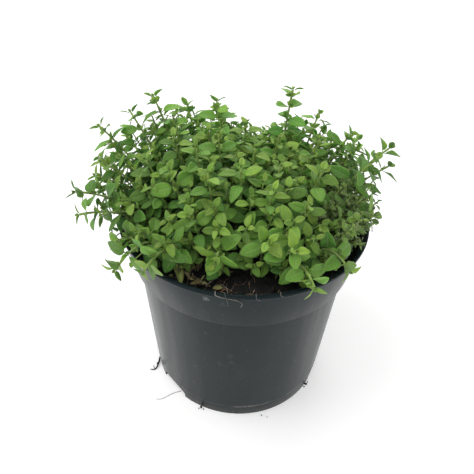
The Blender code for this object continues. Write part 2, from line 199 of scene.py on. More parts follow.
# Stems and leaves, as in the CAD
STEM_WIDTH = 1.7 * MM
TIP_WIDTH = 1.2 * MM
STEM_RINGS = 6
KNEE_SHARE = 0.3
BLADE_THICKNESS = 0.62 * MM
CLEARANCE = 0.35 * MM
ROOT_OFFSET = 0.25 * MM
LEAF_LENGTH = 15.5 * MM
LEAF_WIDTH = 10.2 * MM
NEAR = 1.25 * LEAF_LENGTH
PETIOLE_SHARE = 0.16
LIGHT = Vector((0, -1.1, 1))
OUTWARD_LIGHT = 0.45
LIGHT_SHARE = 0.64
LEVEL_SHARE = 0.35
OPEN_DISTANCE = 9 * MM
LEADING_VIGOUR = (0.98, 1.14)
FILL_VIGOUR = (0.84, 1.06)
BREADTH = (0.76, 1.04)
SIZE_SPREAD = (0.92, 1.06)
DROOP = (0.06, 0.5)
SPIN_SPREAD = 16
TILT_SPREAD = 16
ROLL_SPREAD = 30
LEAF_TRIES = ((0, 0, 1), (18, 0, 1), (-18, 0, 1), (0, 14, 1), (0, -16, 1), (30, 8, 0.9), (-30, 8, 0.9),
              (14, -22, 0.85), (-14, 22, 0.85), (0, 0, 0.75), (34, -12, 0.7), (-34, 16, 0.7))
# Each pair's distance from the tip, size share and angle: the CAD's, then those that are added below them
PAIRS = ((0.6 * MM, 0.56, 42), (5.5 * MM, 0.86, 60), (13 * MM, 1.02, 68), (22 * MM, 1.04, 76),
         (32 * MM, 0.92, 84))
LOWER_PAIRS = ((38 * MM, 0.78, 88), (48 * MM, 0.7, 92), (59 * MM, 0.6, 96))
# The plain blade's outline for leaves up to a share of LEAF_LENGTH: where it turns, as shares of the blade's
# length, and its half width there, as a share of its width
PLAIN_OUTLINES = (
    (0.72, ((0.42, 0.46),)),
    (1.02, ((0.30, 0.47), (0.76, 0.38))),
    (math.inf, ((0.16, 0.40), (0.46, 0.50), (0.84, 0.33))),
)
# The leading stems' tips and rises in millimetres, and how far out their roots stand, as a share of the tip
LEADING_STEMS = (
    ((34, 60, 233), 50, 0.80), ((-75, 60, 223), 42, 0.64), ((-90, 42, 217), 36, 0.62),
    ((-111, 28, 211), 34, 0.56), ((-52, 90, 204), 32, 0.70), ((-26, 80, 213), 36, 0.74),
    ((-22, 106, 192), 26, 0.72), ((16, 104, 172), 22, 0.74), ((11, 80, 182), 26, 0.76),
    ((60, 78, 207), 34, 0.72), ((48, 102, 190), 26, 0.70), ((84, 56, 200), 30, 0.68),
    ((108, 27, 203), 32, 0.57), ((105, 10, 197), 32, 0.59), ((92, 2, 206), 36, 0.64),
    ((91, -30, 179), 36, 0.62), ((68, -74, 167), 40, 0.66), ((44, -90, 166), 36, 0.70),
    ((-104, -2, 198), 32, 0.58), ((-120, -20, 183), 32, 0.56), ((-116, -32, 172), 30, 0.58),
    ((-98, -36, 176), 34, 0.60), ((-84, -70, 156), 38, 0.63), ((-62, -83, 167), 40, 0.66),
    ((-18, -76, 172), 34, 0.74),
)
FILL_STEMS = 160
MOST_STEMS = 46
FILL_CENTRE = (0, 6 * MM)
FILL_RADIUS = 95 * MM
FILL_TOP = 212 * MM
FRONT_DROP = 42 * MM
BACK_DROP = 10 * MM
FILL_SPACING = 24.5 * MM
BARE_PATCH = (-24 * MM, -86 * MM)
BARE_REACH = (38 * MM, 15 * MM)
FILL_ROOT_SHARE = 0.76
FILL_RISE = 30 * MM
FILL_PAIRS = 4
GOLDEN_ANGLE = math.radians(137.508)
HEIGHT_SPREAD = 5 * MM

# Seeds: the first two are the CAD's, and the leaves of added shoots have their shoots' seed and a step more
STEM_SEED = 7
LEAF_SEED = 8
LOWER_LEAF_SEED = 9
DRESS_SEED = 10
LITTER_SEED = 11
SEED_STEP = 100

# The shoots between the CAD's stems, in millimetres and degrees. Below is how far a tip stays under the
# plant's top, and height gives a tip's height instead. Gap scales the distances between pairs, vigour the
# leaves, and share is how many shoots one piece holds.
FILLERS = (
    {"name": "inner_shoots", "seed": 21, "tries": 600, "radius": (0, 99), "azimuth": (-180, 180),
     "spacing": 14.5, "below": (1.5, 10), "rise": 30, "root": 0.76, "vigour": (0.74, 1.02), "gap": 0.95,
     "pairs": 5, "dull": 0.0, "share": 26},
    {"name": "overhang_shoots", "seed": 24, "tries": 330, "radius": (86, 113), "azimuth": (12, 226),
     "spacing": 12, "below": (4, 27), "rise": 27, "root": 0.68, "vigour": (0.62, 0.96), "gap": 0.9,
     "pairs": 6, "dull": 0.0, "share": 24},
    {"name": "back_shoots", "seed": 25, "tries": 420, "radius": (48, 98), "azimuth": (5, 175),
     "spacing": 10.5, "below": (9, 26), "rise": 28, "root": 0.76, "vigour": (0.7, 1.0), "gap": 0.9,
     "pairs": 5, "dull": 0.0, "share": 26},
    {"name": "edge_shoots", "seed": 22, "tries": 420, "radius": (70, 96), "azimuth": (-180, 180),
     "spacing": 12, "height": (157, 174), "rise": 14, "root": 0.84, "vigour": (0.5, 0.88), "gap": 0.8,
     "pairs": 3, "dull": 0.1, "share": 26},
    {"name": "fine_shoots", "seed": 23, "tries": 900, "radius": (68, 99), "azimuth": (-44, 20),
     "spacing": 9.8, "height": (159, 190), "rise": 20, "root": 0.78, "vigour": (0.34, 0.56), "gap": 0.6,
     "pairs": 6, "dull": 0.8, "share": 30},
)
# On the right only the dull fine shoots stand: from what radius, and between which azimuths
THIN_SIDE = (58 * MM, math.radians(-48), math.radians(18))
THIN_SIDE_SHOOTS = "fine_shoots"
# How much wider the bare patch is for the added shoots, and for the lower leaves of the CAD's stems
BARE_MARGIN = 1.3
LOWER_BARE_MARGIN = 1.9
SHOOT_WIDTHS = (1.15 * MM, 0.75 * MM)
SHOOT_TRIES = 6
SHOOT_SHIFT = 3.5 * MM
GAP_SPREAD = (0.85, 1.15)
CANOPY_TOP = 214 * MM
CANOPY_SOFT = 9 * MM
CANOPY_REACH = 20 * MM

# The fine blade's layouts: from what length on, the rows along it and the columns across it
LAYOUTS = {
    "large": (12 * MM, (0, 0.16, 0.19, 0.25, 0.36, 0.49, 0.62, 0.76, 0.88, 0.96, 1),
              (-1, -0.76, -0.16, 0, 0.16, 0.76, 1)),
    "middle": (7.4 * MM, (0, 0.16, 0.21, 0.34, 0.52, 0.71, 0.88, 1), (-1, -0.6, -0.16, 0, 0.16, 0.6, 1)),
    "small": (4.6 * MM, (0, 0.16, 0.24, 0.45, 0.70, 0.92, 1), (-1, -0.4, 0, 0.4, 1)),
    "tiny": (0, (0, 0.18, 0.42, 0.72, 0.93, 1), (-1, 0, 1)),
}
OUTLINE_SKEW = 0.80
BASE_BLUNT = 0.52
TIP_BLUNT = 0.68
LEAF_THICKNESS = 0.34 * MM
PETIOLE_THICKNESS = 0.7 * MM
PETIOLE_HALF_WIDTH = 0.42 * MM
TIP_HALF_WIDTH = 0.14 * MM
CREASE_DEPTH = 0.16 * MM
CREASE_WIDTH = 0.16
AGE_LENGTH = 62 * MM
OLDEST_GREEN = 0.8

# The fine stem
FINE_RINGS = 15
STEM_SIDES = 8
NODE_SWELL = 0.3
NODE_SIZE = 1.1 * MM

# What is drawn for every leaf, from lowest to highest: for those of stems, then for these and the buds'
LEAF_TRAITS = {"fold": (0.06, 0.46), "curl": (-0.36, 0.2), "age": (-0.06, 0.12)}
COMMON_TRAITS = {"twist": (-0.4, 0.4), "wave": (0.0, 0.12), "phase": (0, 1), "sweep": (-0.13, 0.13),
                 "light": (-0.6, 0.6), "dull": (0.5, 1.2)}
# How near the tip leaves are young, and how much more those fold and curl
YOUNG_LENGTH = 12 * MM
YOUNG_FOLD = 0.04
YOUNG_CURL = 0.08
# How far the leaves of one stem differ in brightness from those of others, and what they share of it
STEM_SHADE = 0.5
SHADE_SHARE = 0.6

# Buds in the leaf axils, from a distance under the tip on, and at the tips
BUD_CHANCE = 0.75
BUD_DISTANCE = 3 * MM
BUD_COUNTS = (2, 3, 3)
BUD_LEAF = (2.8 * MM, 6.8 * MM)
BUD_OFFSET = 0.3 * MM
BUD_TRAITS = {"width": (0.56, 0.7), "droop": (0.0, 0.25), "fold": (0.12, 0.36), "age": (-0.08, 0.05)}
BUD_CURL = 0.05
BUD_AGE_SHARE = 0.45
TIP_BUD_LEAF = 3.4 * MM
TIP_BUD_LEAN = (10, 24)

# How much younger the leaves look in front of a line in y, and how much lighter they are painted behind one,
# as painted light from behind, over what depth
FRESH_FRONT = 0.04
FRONT_LINE = -52 * MM
BACK_PAINTED_LIGHT = 0.6
BACK_LINE = 10 * MM
BACK_DEPTH = 50 * MM

# Crumbs and bark chips on the soil: how many, their sizes and how flat they are
CRUMBS = (1500, (0.35 * MM, 1.15 * MM), 0.8)
CHIPS = (150, (1.1 * MM, 2.7 * MM), 0.3)

# Fibres on the soil: how many, the box of x and y that they start in, their lengths and widths
FRONT_FIBRES = (
    (11, (-13 * MM, -4 * MM), (-79 * MM, -74 * MM), (7 * MM, 15 * MM), (0.24 * MM, 0.38 * MM)),
    (10, (5 * MM, 16 * MM), (-78 * MM, -73 * MM), (6 * MM, 13 * MM), (0.24 * MM, 0.38 * MM)),
    (6, (-45 * MM, 40 * MM), (-80 * MM, -62 * MM), (5 * MM, 12 * MM), (0.22 * MM, 0.4 * MM)),
)
OTHER_FIBRES = ((60, (-84 * MM, 84 * MM), (-84 * MM, 84 * MM), (5 * MM, 14 * MM), (0.2 * MM, 0.4 * MM)),)
FIBRE_STEP = 1.6 * MM
FIBRE_BEND = 15
FIBRE_LIFT = 1.3 * MM
TUBE_SIDES = 5
TUBE_SIDE = Vector((0.3, 0.5, 0.8)).normalized()
CURVE_STEPS = 4

# Fine roots over the front of the rim: x on the soil and on the rim, then x and z down the collar, and the
# width, all in millimetres
RIM_ROOTS = (
    (-22, -17, ((-11.0, 157.6), (-4.6, 156.4), (-1.0, 154.8), (0.2, 151.8), (-0.6, 148.5)), 0.62),
    (-15, -11, ((-9.2, 154.5), (-8.6, 148.5)), 0.26),
    (5, 8.2, ((9.6, 157.4), (12.0, 155.8)), 0.34),
    (18, 23.5, ((26, 158), (28, 157)), 0.36),
)
RIM_CLEARANCE = 0.35 * MM

# Roots and twigs by their points, each with its widths at both ends, in millimetres
PALE_ROOTS = (
    (((-24.2, -72.7, 146.8), (-20.2, -69.6, 149.0), (-16.3, -66.2, 148.6)), 0.75, 0.4),
    (((-14.9, -69.1, 146.0), (-9.2, -74.7, 146.8), (-6.0, -75.7, 145.6)), 0.5, 0.3),
    (((-69.5, -63.7, 0.3), (-64.3, -63.2, 0.5), (-55.7, -57.4, 0.4), (-48.5, -54.7, 0.5)), 0.35, 0.5),
    (((84, -24, 149), (91, -21, 162), (97.3, -21, 161), (99.5, -22, 154)), 0.4, 0.22),
)
BLACK_ROOTS = (
    (((-79.6, -33.0, 0.4), (-75.2, -32.7, 0.5), (-73.0, -27.9, 2.0), (-71.8, -21.7, 5.0)), 0.8, 2.0),
    (((-75.2, -32.7, 0.5), (-76.8, -30.2, 1.2), (-77.4, -28.2, 0.5)), 0.7, 0.4),
    (((-76, -34, 156), (-84.6, -42.2, 165.5), (-78.5, -49.0, 166.5), (-83.0, -53.0, 162),
      (-84.6, -54.0, 156)), 1.5, 1.0),
    (((-84.6, -42.2, 165.5), (-88.5, -43.0, 163), (-89.5, -44.5, 157)), 1.0, 0.7),
    (((-82, -20, 160), (-90.5, -29.5, 165.5), (-94.0, -33.0, 162.5), (-93.0, -38.0, 158)), 1.4, 0.8),
)
# Bits of dirt at the foot of the pot: x, y and size in millimetres
FLOOR_BITS = (
    (-29.5, -70.2, 1.5), (-27.4, -71.9, 0.9), (-31.4, -71.3, 0.6), (-73.6, -26.8, 1.7), (-72.4, -24.0, 1.2),
    (62.8, -42.8, 1.5), (61.0, -45.2, 0.8), (64.6, -40.2, 0.9), (22.3, -75.4, 0.6), (27.0, -76.5, 0.4),
)
FLOOR_BIT_FLATNESS = 0.8

# Dry twigs and withered leaves about a place on the left of the bare patch
WITHERED_CENTRE = (-33 * MM, -66 * MM)
WITHERED_SPREAD = (15 * MM, 7 * MM)
DRY_TWIGS = 14
DRY_TWIG_LENGTH = (9 * MM, 22 * MM)
DRY_TWIG_WIDTHS = (0.9 * MM, 0.55 * MM)
DRY_TWIG_LEAN = ((-0.9, 0.9), (-0.9, 0.7), (0.35, 1.3))
DRY_TWIG_BOW = 0.25
WITHERED_LEAVES = 30
WITHERED_LENGTH = (4.5 * MM, 9.5 * MM)
WITHERED_LIFT = (0.6, 10)
WITHERED_LEAN = ((-1, 1), (-1, 1), (-0.5, 0.4))
WITHERED_AGE = (0.88, 1.0)
WITHERED_TRAITS = {"width": (0.38, 0.62), "droop": (0.1, 0.7), "fold": (0.2, 1.0), "curl": (-0.6, 0.6),
                   "twist": (-1.1, 1.1), "wave": (0.05, 0.2), "phase": (0, 1), "sweep": (-0.4, 0.4),
                   "light": (-0.8, 0.8)}
# The long yellow leaf there: its root and its tip in millimetres, its age and its form
LONG_LEAF = ((-46.5, -60, 157), (-38.4, -75.5, 152), 0.84)
LONG_LEAF_FORM = {"width": 7 * MM, "twist": 0.5, "fold": 0.5, "curl": 0.1, "droop": 0.15, "sweep": 0.1,
                  "light": 0.5}


def add_object(name, mesh, material=None, collection=None):
    obj = bpy.data.objects.new(name, mesh)
    (collection or bpy.context.scene.collection).objects.link(obj)
    if material:
        mesh.materials.append(material)
    return obj


def piece(obj, slot, *replaced):
    """Says that an object is a piece of the part that rests with the rest of it."""
    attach(obj, "root")
    if replaced:
        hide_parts(*replaced)


def drawn(draw, traits):
    """A number drawn between the two of each trait."""
    return {name: draw.uniform(*limits) for name, limits in traits.items()}


# Camera, light and floor

def place_camera():
    camera = bpy.data.cameras.new("camera")
    camera.sensor_width = SENSOR
    camera.lens = LENS
    camera.clip_start = CLIP_START
    obj = add_object("camera", camera)
    obj.location = CAMERA_PLACE
    obj.rotation_mode = "QUATERNION"
    aim = (CAMERA_TARGET - CAMERA_PLACE).to_track_quat("-Z", "Y")
    obj.rotation_quaternion = aim @ Quaternion((0, 0, 1), CAMERA_ROLL)
    bpy.context.scene.camera = obj


def place_lights():
    world = bpy.data.worlds.new("sky")
    world.use_nodes = True
    sky = world.node_tree.nodes["Background"]
    sky.inputs["Color"].default_value = (*WHITE, 1)
    sky.inputs["Strength"].default_value = SKY_STRENGTH
    bpy.context.scene.world = world
    for name, place, size, power in LIGHTS:
        light = bpy.data.lights.new(name, "AREA")
        light.shape = "DISK"
        light.size = size
        light.energy = power
        obj = add_object(name, light)
        obj.location = place
        obj.rotation_euler = (LIGHT_AIM - obj.location).to_track_quat("-Z", "Y").to_euler()


def make_floor():
    half = FLOOR_SIZE / 2
    corners = [(-half, -half, 0), (half, -half, 0), (half, half, 0), (-half, half, 0)]
    mesh = bpy.data.meshes.new("floor")
    mesh.from_pydata(corners, [], [(0, 1, 2, 3)])
    add_object("floor", mesh, Finish("floor", FLOOR_FINISH).material)


# Finishes

class Finish:
    """A material, with short ways to add the nodes that feed its shader."""

    def __init__(self, name, settings):
        self.material = bpy.data.materials.new(name)
        self.material.use_nodes = True
        self.tree = self.material.node_tree
        self.shader = self.tree.nodes["Principled BSDF"]
        self.feed(self.shader, settings)

    def feed(self, node, inputs):
        """Links other nodes' outputs to a node's inputs, and sets those that get a number or a colour."""
        for key, value in inputs.items():
            socket = node.inputs[key]
            if isinstance(value, bpy.types.NodeSocket):
                self.tree.links.new(value, socket)
            else:
                socket.default_value = (*value, 1) if socket.type == "RGBA" else value

    def add(self, kind, output, inputs, **settings):
        """The output of a new node."""
        node = self.tree.nodes.new("ShaderNode" + kind)
        for name, value in settings.items():
            setattr(node, name, value)
        self.feed(node, inputs)
        return node.outputs[output]

    def calculate(self, operation, *values):
        return self.add("Math", 0, dict(enumerate(values)), operation=operation)

    def times(self, first, *others):
        for other in others:
            first = self.calculate("MULTIPLY", first, other)
        return first

    def blend(self, share, first, second, mode="MIX"):
        """A colour between two others, or one laid over the other."""
        inputs = {"Factor": share, 6: first, 7: second}
        return self.add("Mix", 2, inputs, data_type="RGBA", blend_type=mode)

    def cover(self, colour, layers):
        """A colour with others laid over it, each given as its share and itself."""
        for share, layer in layers:
            colour = self.blend(share, colour, layer)
        return colour

    def span(self, value, low, high, start=0.0, end=1.0):
        """Turns low to high into start to end, smoothly and without going past them."""
        inputs = {"Value": value, "From Min": low, "From Max": high, "To Min": start, "To Max": end}
        return self.add("MapRange", "Result", inputs, interpolation_type="SMOOTHSTEP")

    def ramp(self, value, stops):
        output = self.add("ValToRGB", 0, {0: value})
        elements = output.node.color_ramp.elements
        while len(elements) < len(stops):
            elements.new(0.5)
        for element, (place, colour) in zip(elements, stops):
            element.position = place
            element.color = (*colour, 1)
        return output

    def place(self):
        return self.add("TexCoord", "Object", {})

    def split(self, vector):
        return self.add("SeparateXYZ", 0, {0: vector}).node.outputs[:3]

    def attribute(self, name):
        """The three numbers of a vertex attribute."""
        return self.split(self.add("Attribute", "Vector", {}, attribute_name=name))

    def grain(self, scale, detail=3.0, stretch=(1, 1, 1), roughness=0.5):
        """Noise in the object's own metres. Scale is in bumps a metre."""
        place = self.add("Mapping", 0, {"Vector": self.place(), "Scale": stretch})
        inputs = {"Vector": place, "Scale": scale, "Detail": detail, "Roughness": roughness}
        return self.add("TexNoise", "Fac", inputs)

    def mark(self, point, radius):
        """A soft round mark about a point given in millimetres, as a share from 0 to 1."""
        ends = {0: self.place(), 1: Vector(point) * MM}
        apart = self.add("VectorMath", "Value", ends, operation="DISTANCE")
        return self.span(apart, radius * MM, radius * MARK_CORE * MM)

    def finished(self, colour, roughness, relief, strength, depth):
        """The material, once its shader has its colour, its roughness and its bumps."""
        normal = self.add("Bump", 0, {"Height": relief, "Strength": strength, "Distance": depth})
        self.feed(self.shader, {"Base Color": colour, "Roughness": roughness, "Normal": normal})
        return self.material


def plastic_finish(name, specular):
    """Satin injection-moulded plastic with flow streaks, a film of dust, scuffs and a dirty foot."""
    made = Finish(name, {"Specular IOR Level": specular, **DUST_SHEEN})
    height = made.split(made.place())[2]
    streaks = made.grain(90, 4, (1, 1, 0.05), 0.6)
    patches = made.grain(26, 4)
    speckle = made.grain(900, 2)
    dust = made.times(made.span(patches, 0.42, 0.75), 0.35)
    dust = made.calculate("ADD", dust, made.times(made.span(streaks, 0.45, 0.8), 0.3))
    foot = made.times(made.span(height, FOOT_BAND_HEIGHT * 1.1, 0.0), made.span(speckle, 0.4, 0.62), 0.62)
    line = made.times(made.span(height, FOOT_BAND_HEIGHT * 0.8, FOOT_BAND_HEIGHT),
                      made.span(height, FOOT_BAND_HEIGHT * 1.25, FOOT_BAND_HEIGHT),
                      made.span(patches, 0.48, 0.60), made.span(speckle, 0.36, 0.60))
    flecks = made.times(made.span(made.grain(300, 1), 0.70, 0.76), 0.25)
    scratched = made.span(made.grain(1400, 2), 0.42, 0.60)
    layers = [(foot, FOOT_DIRT), (line, DIRT_LINE), (flecks, FLECK)]
    for point, radius, strength in SCUFFS:
        layers.append((made.times(made.mark(point, radius), scratched, strength), SCUFF))
    layers += [(made.mark(point, radius), DIRT) for point, radius in DIRT_SPOTS]
    colour = made.cover(made.blend(dust, PLASTIC, DUSTY_PLASTIC), layers)
    return made.finished(colour, made.span(streaks, 0.3, 0.75, 0.26, 0.38), speckle, 0.06, 0.0002)


def soil_finish():
    """Moist dark potting mix, with browner and paler crumbs."""
    made = Finish("potting_soil", {})
    crumbs = made.grain(700, 4)
    lumps = made.span(made.grain(190, 6, roughness=0.65), 0.35, 0.72)
    colour = made.blend(lumps, BLACK_SOIL, BROWN_SOIL)
    colour = made.blend(made.span(crumbs, 0.70, 0.82), colour, PALE_CRUMB)
    return made.finished(colour, made.span(crumbs, 0.3, 0.7, 0.62, 0.95), crumbs, 0.7, 0.0006)


def bark_finish(name):
    """Dry plant fibre: bark chips, roots and dead twigs."""
    made = Finish(name, {})
    colour = made.blend(made.span(made.grain(420, 4, (1, 1, 0.6)), 0.3, 0.7), *BARKS[name])
    return made.finished(colour, 0.8, made.grain(1500, 2), 0.4, 0.0002)


def vein_height(made, along, aside):
    """How near a point on a blade is to its midrib or a side vein, from 0 to 1."""
    midrib = made.span(aside, 0.11, 0.02)
    phase = made.calculate("SUBTRACT", made.times(along, 5.5), made.times(aside, 1.25))
    apart = made.calculate("ABSOLUTE", made.calculate("SUBTRACT", made.calculate("FRACT", phase), 0.5))
    side = made.times(made.span(apart, 0.14, 0.03), made.span(aside, 0.95, 0.6), 0.6)
    return made.calculate("MAXIMUM", midrib, side)


def leaf_finish():
    """Oregano leaf and stem: matt, finely hairy, yellower when young, paler beneath, brown when withered."""
    made = Finish("oregano_leaf_fine", LEAF_FINISH)
    along, across, age = made.attribute("blade")
    light, dull, kind = made.attribute("tint")
    aside = made.calculate("ABSOLUTE", across)
    mottle = made.grain(420, 3)
    veins = vein_height(made, along, aside)
    # Old leaves deep in the plant get the ramp's darkest green, partly age and partly painted shade
    green = made.cover(made.ramp(age, LEAF_COLOURS_AND_PAINTED_SHADE), (
        (made.span(mottle, 0.3, 0.7, 0.0, 0.35), MOTTLED_LEAF),
        (made.times(dull, 0.8), DULL_LEAF),
        (made.times(made.span(age, 0.8, 0.87), made.span(aside, 0.35, 0.9)), DRY_EDGE),
        (made.times(veins, 0.50), VEIN),
        (made.times(made.span(aside, 0.90, 1.0), 0.35), LEAF_RIM),
        (made.times(made.span(kind, -0.1, -0.9), 0.55), UNDERSIDE),
    ))
    colour = made.blend(made.span(kind, 0.9, 1.1), green, made.ramp(age, STEM_COLOURS))
    # The light attribute holds each stem's and leaf's random tone, and for the leaves at the back painted
    # light
    brightness = made.span(light, -1.0, 1.6, 0.66, 1.44)
    grey = made.add("CombineColor", 0, {0: brightness, 1: brightness, 2: brightness})
    colour = made.blend(1.0, colour, grey, "MULTIPLY")
    relief = made.calculate("SUBTRACT", made.times(mottle, 0.5), veins)
    return made.finished(colour, made.span(mottle, 0.3, 0.7, 0.46, 0.62), relief, 0.55, 0.00025)


# Pot

def pot_profile():
    """The outside from the middle of the base up to the rim, then the inside back down."""
    lip_foot = POT_HEIGHT - LIP_HEIGHT
    lip_inner = RIM_RADIUS - LIP_OVERHANG
    ring_inner = BODY_FOOT_RADIUS - FOOT_RING_WIDTH
    floor_top = FLOOR_LIFT + WALL
    band = BODY_FOOT_RADIUS + (BODY_TOP_RADIUS - BODY_FOOT_RADIUS) * FOOT_BAND_HEIGHT / COLLAR_FOOT
    return [
        (0, 0),
        (MIDDLE_DISC_RADIUS, 0),
        (SLOPE_END, FLOOR_LIFT),
        (ring_inner - WALL, FLOOR_LIFT),
        (ring_inner, 0),
        (BODY_FOOT_RADIUS - FOOT_BAND_STEP, 0),
        (band - FOOT_BAND_STEP, FOOT_BAND_HEIGHT),
        (band, FOOT_BAND_HEIGHT + FOOT_BAND_STEP),
        (BODY_TOP_RADIUS, COLLAR_FOOT),
        (COLLAR_FOOT_RADIUS, COLLAR_FOOT),
        (lip_inner, lip_foot - LIP_ROUND),
        (RIM_RADIUS, lip_foot),
        (RIM_RADIUS, POT_HEIGHT),
        (lip_inner - WALL, POT_HEIGHT),
        (COLLAR_FOOT_RADIUS - WALL, COLLAR_FOOT + WALL),
        (BODY_TOP_RADIUS - WALL, COLLAR_FOOT + WALL),
        (BODY_FOOT_RADIUS - WALL, floor_top),
        (SLOPE_END, floor_top),
        (MIDDLE_DISC_RADIUS, WALL),
        (0, WALL),
    ]


def rounded(profile, radius, steps):
    """The same outline with each inner corner turned into a short curve."""
    points = [Vector(p) for p in profile]
    result = [points[0]]
    for before, corner, after in zip(points, points[1:], points[2:]):
        start = corner + (before - corner).normalized() * min(radius, (before - corner).length * 0.4)
        end = corner + (after - corner).normalized() * min(radius, (after - corner).length * 0.4)
        for step in range(steps + 1):
            share = step / steps
            result.append(start.lerp(corner, share).lerp(corner.lerp(end, share), share))
    result.append(points[-1])
    return [tuple(p) for p in result]


def written(form, mesh):
    """The mesh, once a form is written into it with its faces pointing out."""
    bmesh.ops.recalc_face_normals(form, faces=form.faces)
    form.to_mesh(mesh)
    form.free()
    return mesh


def turned(name, profile, sides):
    """A closed solid of revolution. The profile runs from the axis, out and up, and back to the axis."""
    form = bmesh.new()
    points = [form.verts.new((radius, 0, height)) for radius, height in profile]
    edges = [form.edges.new(pair) for pair in zip(points, points[1:])]
    bmesh.ops.spin(form, geom=points + edges, axis=UP, cent=(0, 0, 0), angle=math.tau, steps=sides,
                   use_merge=True)
    bmesh.ops.remove_doubles(form, verts=form.verts, dist=0.01 * MM)
    return written(form, bpy.data.meshes.new(name))


def notch_mesh(azimuth):
    """A cutter with a round top that goes through the foot of the wall."""
    half = NOTCH_WIDTH / 2
    outline = [(-half, -OVERCUT)]
    for step in range(NOTCH_ARCH_STEPS + 1):
        turn = math.pi * (1 - step / NOTCH_ARCH_STEPS)
        height = NOTCH_SHOULDER + (NOTCH_HEIGHT - NOTCH_SHOULDER) * math.sin(turn)
        outline.append((half * math.cos(turn), height))
    outline.append((half, -OVERCUT))
    reaches = (BODY_FOOT_RADIUS - NOTCH_DEPTH, BODY_FOOT_RADIUS + OVERCUT)
    vertices = [(reach, aside, height) for reach in reaches for aside, height in outline]
    count = len(outline)
    faces = [tuple(range(count)), tuple(range(count, 2 * count))]
    faces += [(i, (i + 1) % count, (i + 1) % count + count, i + count) for i in range(count)]
    mesh = bpy.data.meshes.new("notch")
    mesh.from_pydata(vertices, [], faces)
    mesh.transform(Matrix.Rotation(math.radians(azimuth), 4, "Z"))
    form = bmesh.new()
    form.from_mesh(mesh)
    return written(form, mesh)


def drain_mesh(turn):
    """A cutter for one round drainage hole through the raised ring of the floor."""
    form = bmesh.new()
    bmesh.ops.create_cone(form, cap_ends=True, segments=DRAIN_HOLE_SIDES, radius1=DRAIN_HOLE_RADIUS,
                          radius2=DRAIN_HOLE_RADIUS, depth=FLOOR_LIFT + WALL + 2 * OVERCUT)
    centre = (DRAIN_CIRCLE_RADIUS * math.cos(turn), DRAIN_CIRCLE_RADIUS * math.sin(turn))
    bmesh.ops.translate(form, verts=form.verts, vec=(*centre, FLOOR_LIFT + WALL / 2))
    return written(form, bpy.data.meshes.new("drain"))


def cut_holes(pot):
    """Cuts the notches and the drainage holes out of the pot."""
    cutters = bpy.data.collections.new("pot_cutters")
    bpy.context.scene.collection.children.link(cutters)
    for azimuth in NOTCH_AZIMUTHS:
        add_object("notch", notch_mesh(azimuth), collection=cutters)
    for hole in range(DRAIN_HOLES):
        add_object("drain", drain_mesh(math.tau * (hole + 0.5) / DRAIN_HOLES), collection=cutters)
    modifier = pot.modifiers.new("Holes", "BOOLEAN")
    modifier.solver = "EXACT"
    modifier.operand_type = "COLLECTION"
    modifier.collection = cutters
    result = bpy.data.meshes.new_from_object(pot.evaluated_get(bpy.context.evaluated_depsgraph_get()))
    pot.modifiers.clear()
    pot.data = result
    for cutter in list(cutters.objects):
        bpy.data.objects.remove(cutter, do_unlink=True)
    bpy.data.collections.remove(cutters)


def make_pot():
    mesh = turned("nursery_pot", rounded(pot_profile(), EDGE_ROUND, ROUND_STEPS), POT_SIDES)
    pot = add_object("nursery_pot", mesh, plastic_finish("pot_plastic_worn", BODY_SPECULAR))
    cut_holes(pot)
    pot.data.shade_smooth()
    pot.data.set_sharp_from_angle(angle=SHARP_ANGLE)
    # The collar gets a copy of the finish that mirrors less: painted shade
    pot.data.materials.append(plastic_finish("pot_collar_worn_painted_shade", COLLAR_PAINTED_SHADE_SPECULAR))
    for polygon in pot.data.polygons:
        polygon.material_index = int(polygon.center.z > COLLAR_FOOT + EDGE_ROUND)
    piece(pot, "pot_plastic", "pot")


# Soil

def soil_height(x, y):
    """The soil's top: slightly crowned, with low lumps."""
    crown = SOIL_CROWN * (1 - (math.hypot(x, y) / RIM_RADIUS) ** 2)
    lumps = SOIL_LUMP * math.sin(x / SOIL_LUMP_SIZE) * math.cos(y / SOIL_LUMP_SIZE)
    return SOIL_LEVEL + crown + lumps


def soil_edge():
    """The radius of the soil's top, just inside the collar."""
    collar = COLLAR_FOOT_RADIUS - WALL - GAP
    taper = (RIM_RADIUS - LIP_OVERHANG - COLLAR_FOOT_RADIUS) / COLLAR_HEIGHT
    return collar + taper * (SOIL_LEVEL - POT_HEIGHT + COLLAR_HEIGHT - WALL)


def crumbly_height(x, y):
    """The soil's top with its grain, which fades out at the edge."""
    rough = noise.fractal(Vector((x, y, 0)) / SOIL_GRAIN_SIZE, 1.0, 2.1, 4)
    fall = min(1, (soil_edge() - math.hypot(x, y)) / SOIL_GRAIN_EDGE)
    return soil_height(x, y) + SOIL_GRAIN * rough * fall


def soil_profile():
    floor = FLOOR_LIFT + WALL + GAP
    shelf = COLLAR_FOOT + WALL + GAP
    edge = soil_edge()
    return [
        (0, WALL + GAP),
        (MIDDLE_DISC_RADIUS - GAP, WALL + GAP),
        (SLOPE_END - GAP, floor),
        (BODY_FOOT_RADIUS - WALL - GAP, floor),
        (BODY_TOP_RADIUS - WALL - GAP, shelf),
        (COLLAR_FOOT_RADIUS - WALL - GAP, shelf),
        (edge, SOIL_LEVEL),
        *((edge * (1 - ring / SOIL_RINGS), SOIL_LEVEL) for ring in range(1, SOIL_RINGS)),
        (0, SOIL_LEVEL),
    ]


def make_soil(material):
    mesh = turned("root_ball", soil_profile(), SOIL_SIDES)
    for vertex in mesh.vertices:
        if vertex.co.z > SOIL_LEVEL - GAP:
            vertex.co.z = crumbly_height(vertex.co.x, vertex.co.y)
    mesh.shade_smooth()
    piece(add_object("root_ball", mesh, material), "soil", "soil")


# Tubes

def cross_directions(path, side):
    """The axis and a direction across it at each point of a path, carried up it without a twist."""
    directions = []
    for index in range(len(path)):
        axis = (path[min(index + 1, len(path) - 1)] - path[max(index - 1, 0)]).normalized()
        side = (side - axis * side.dot(axis)).normalized()
        directions.append((axis, side))
    return directions


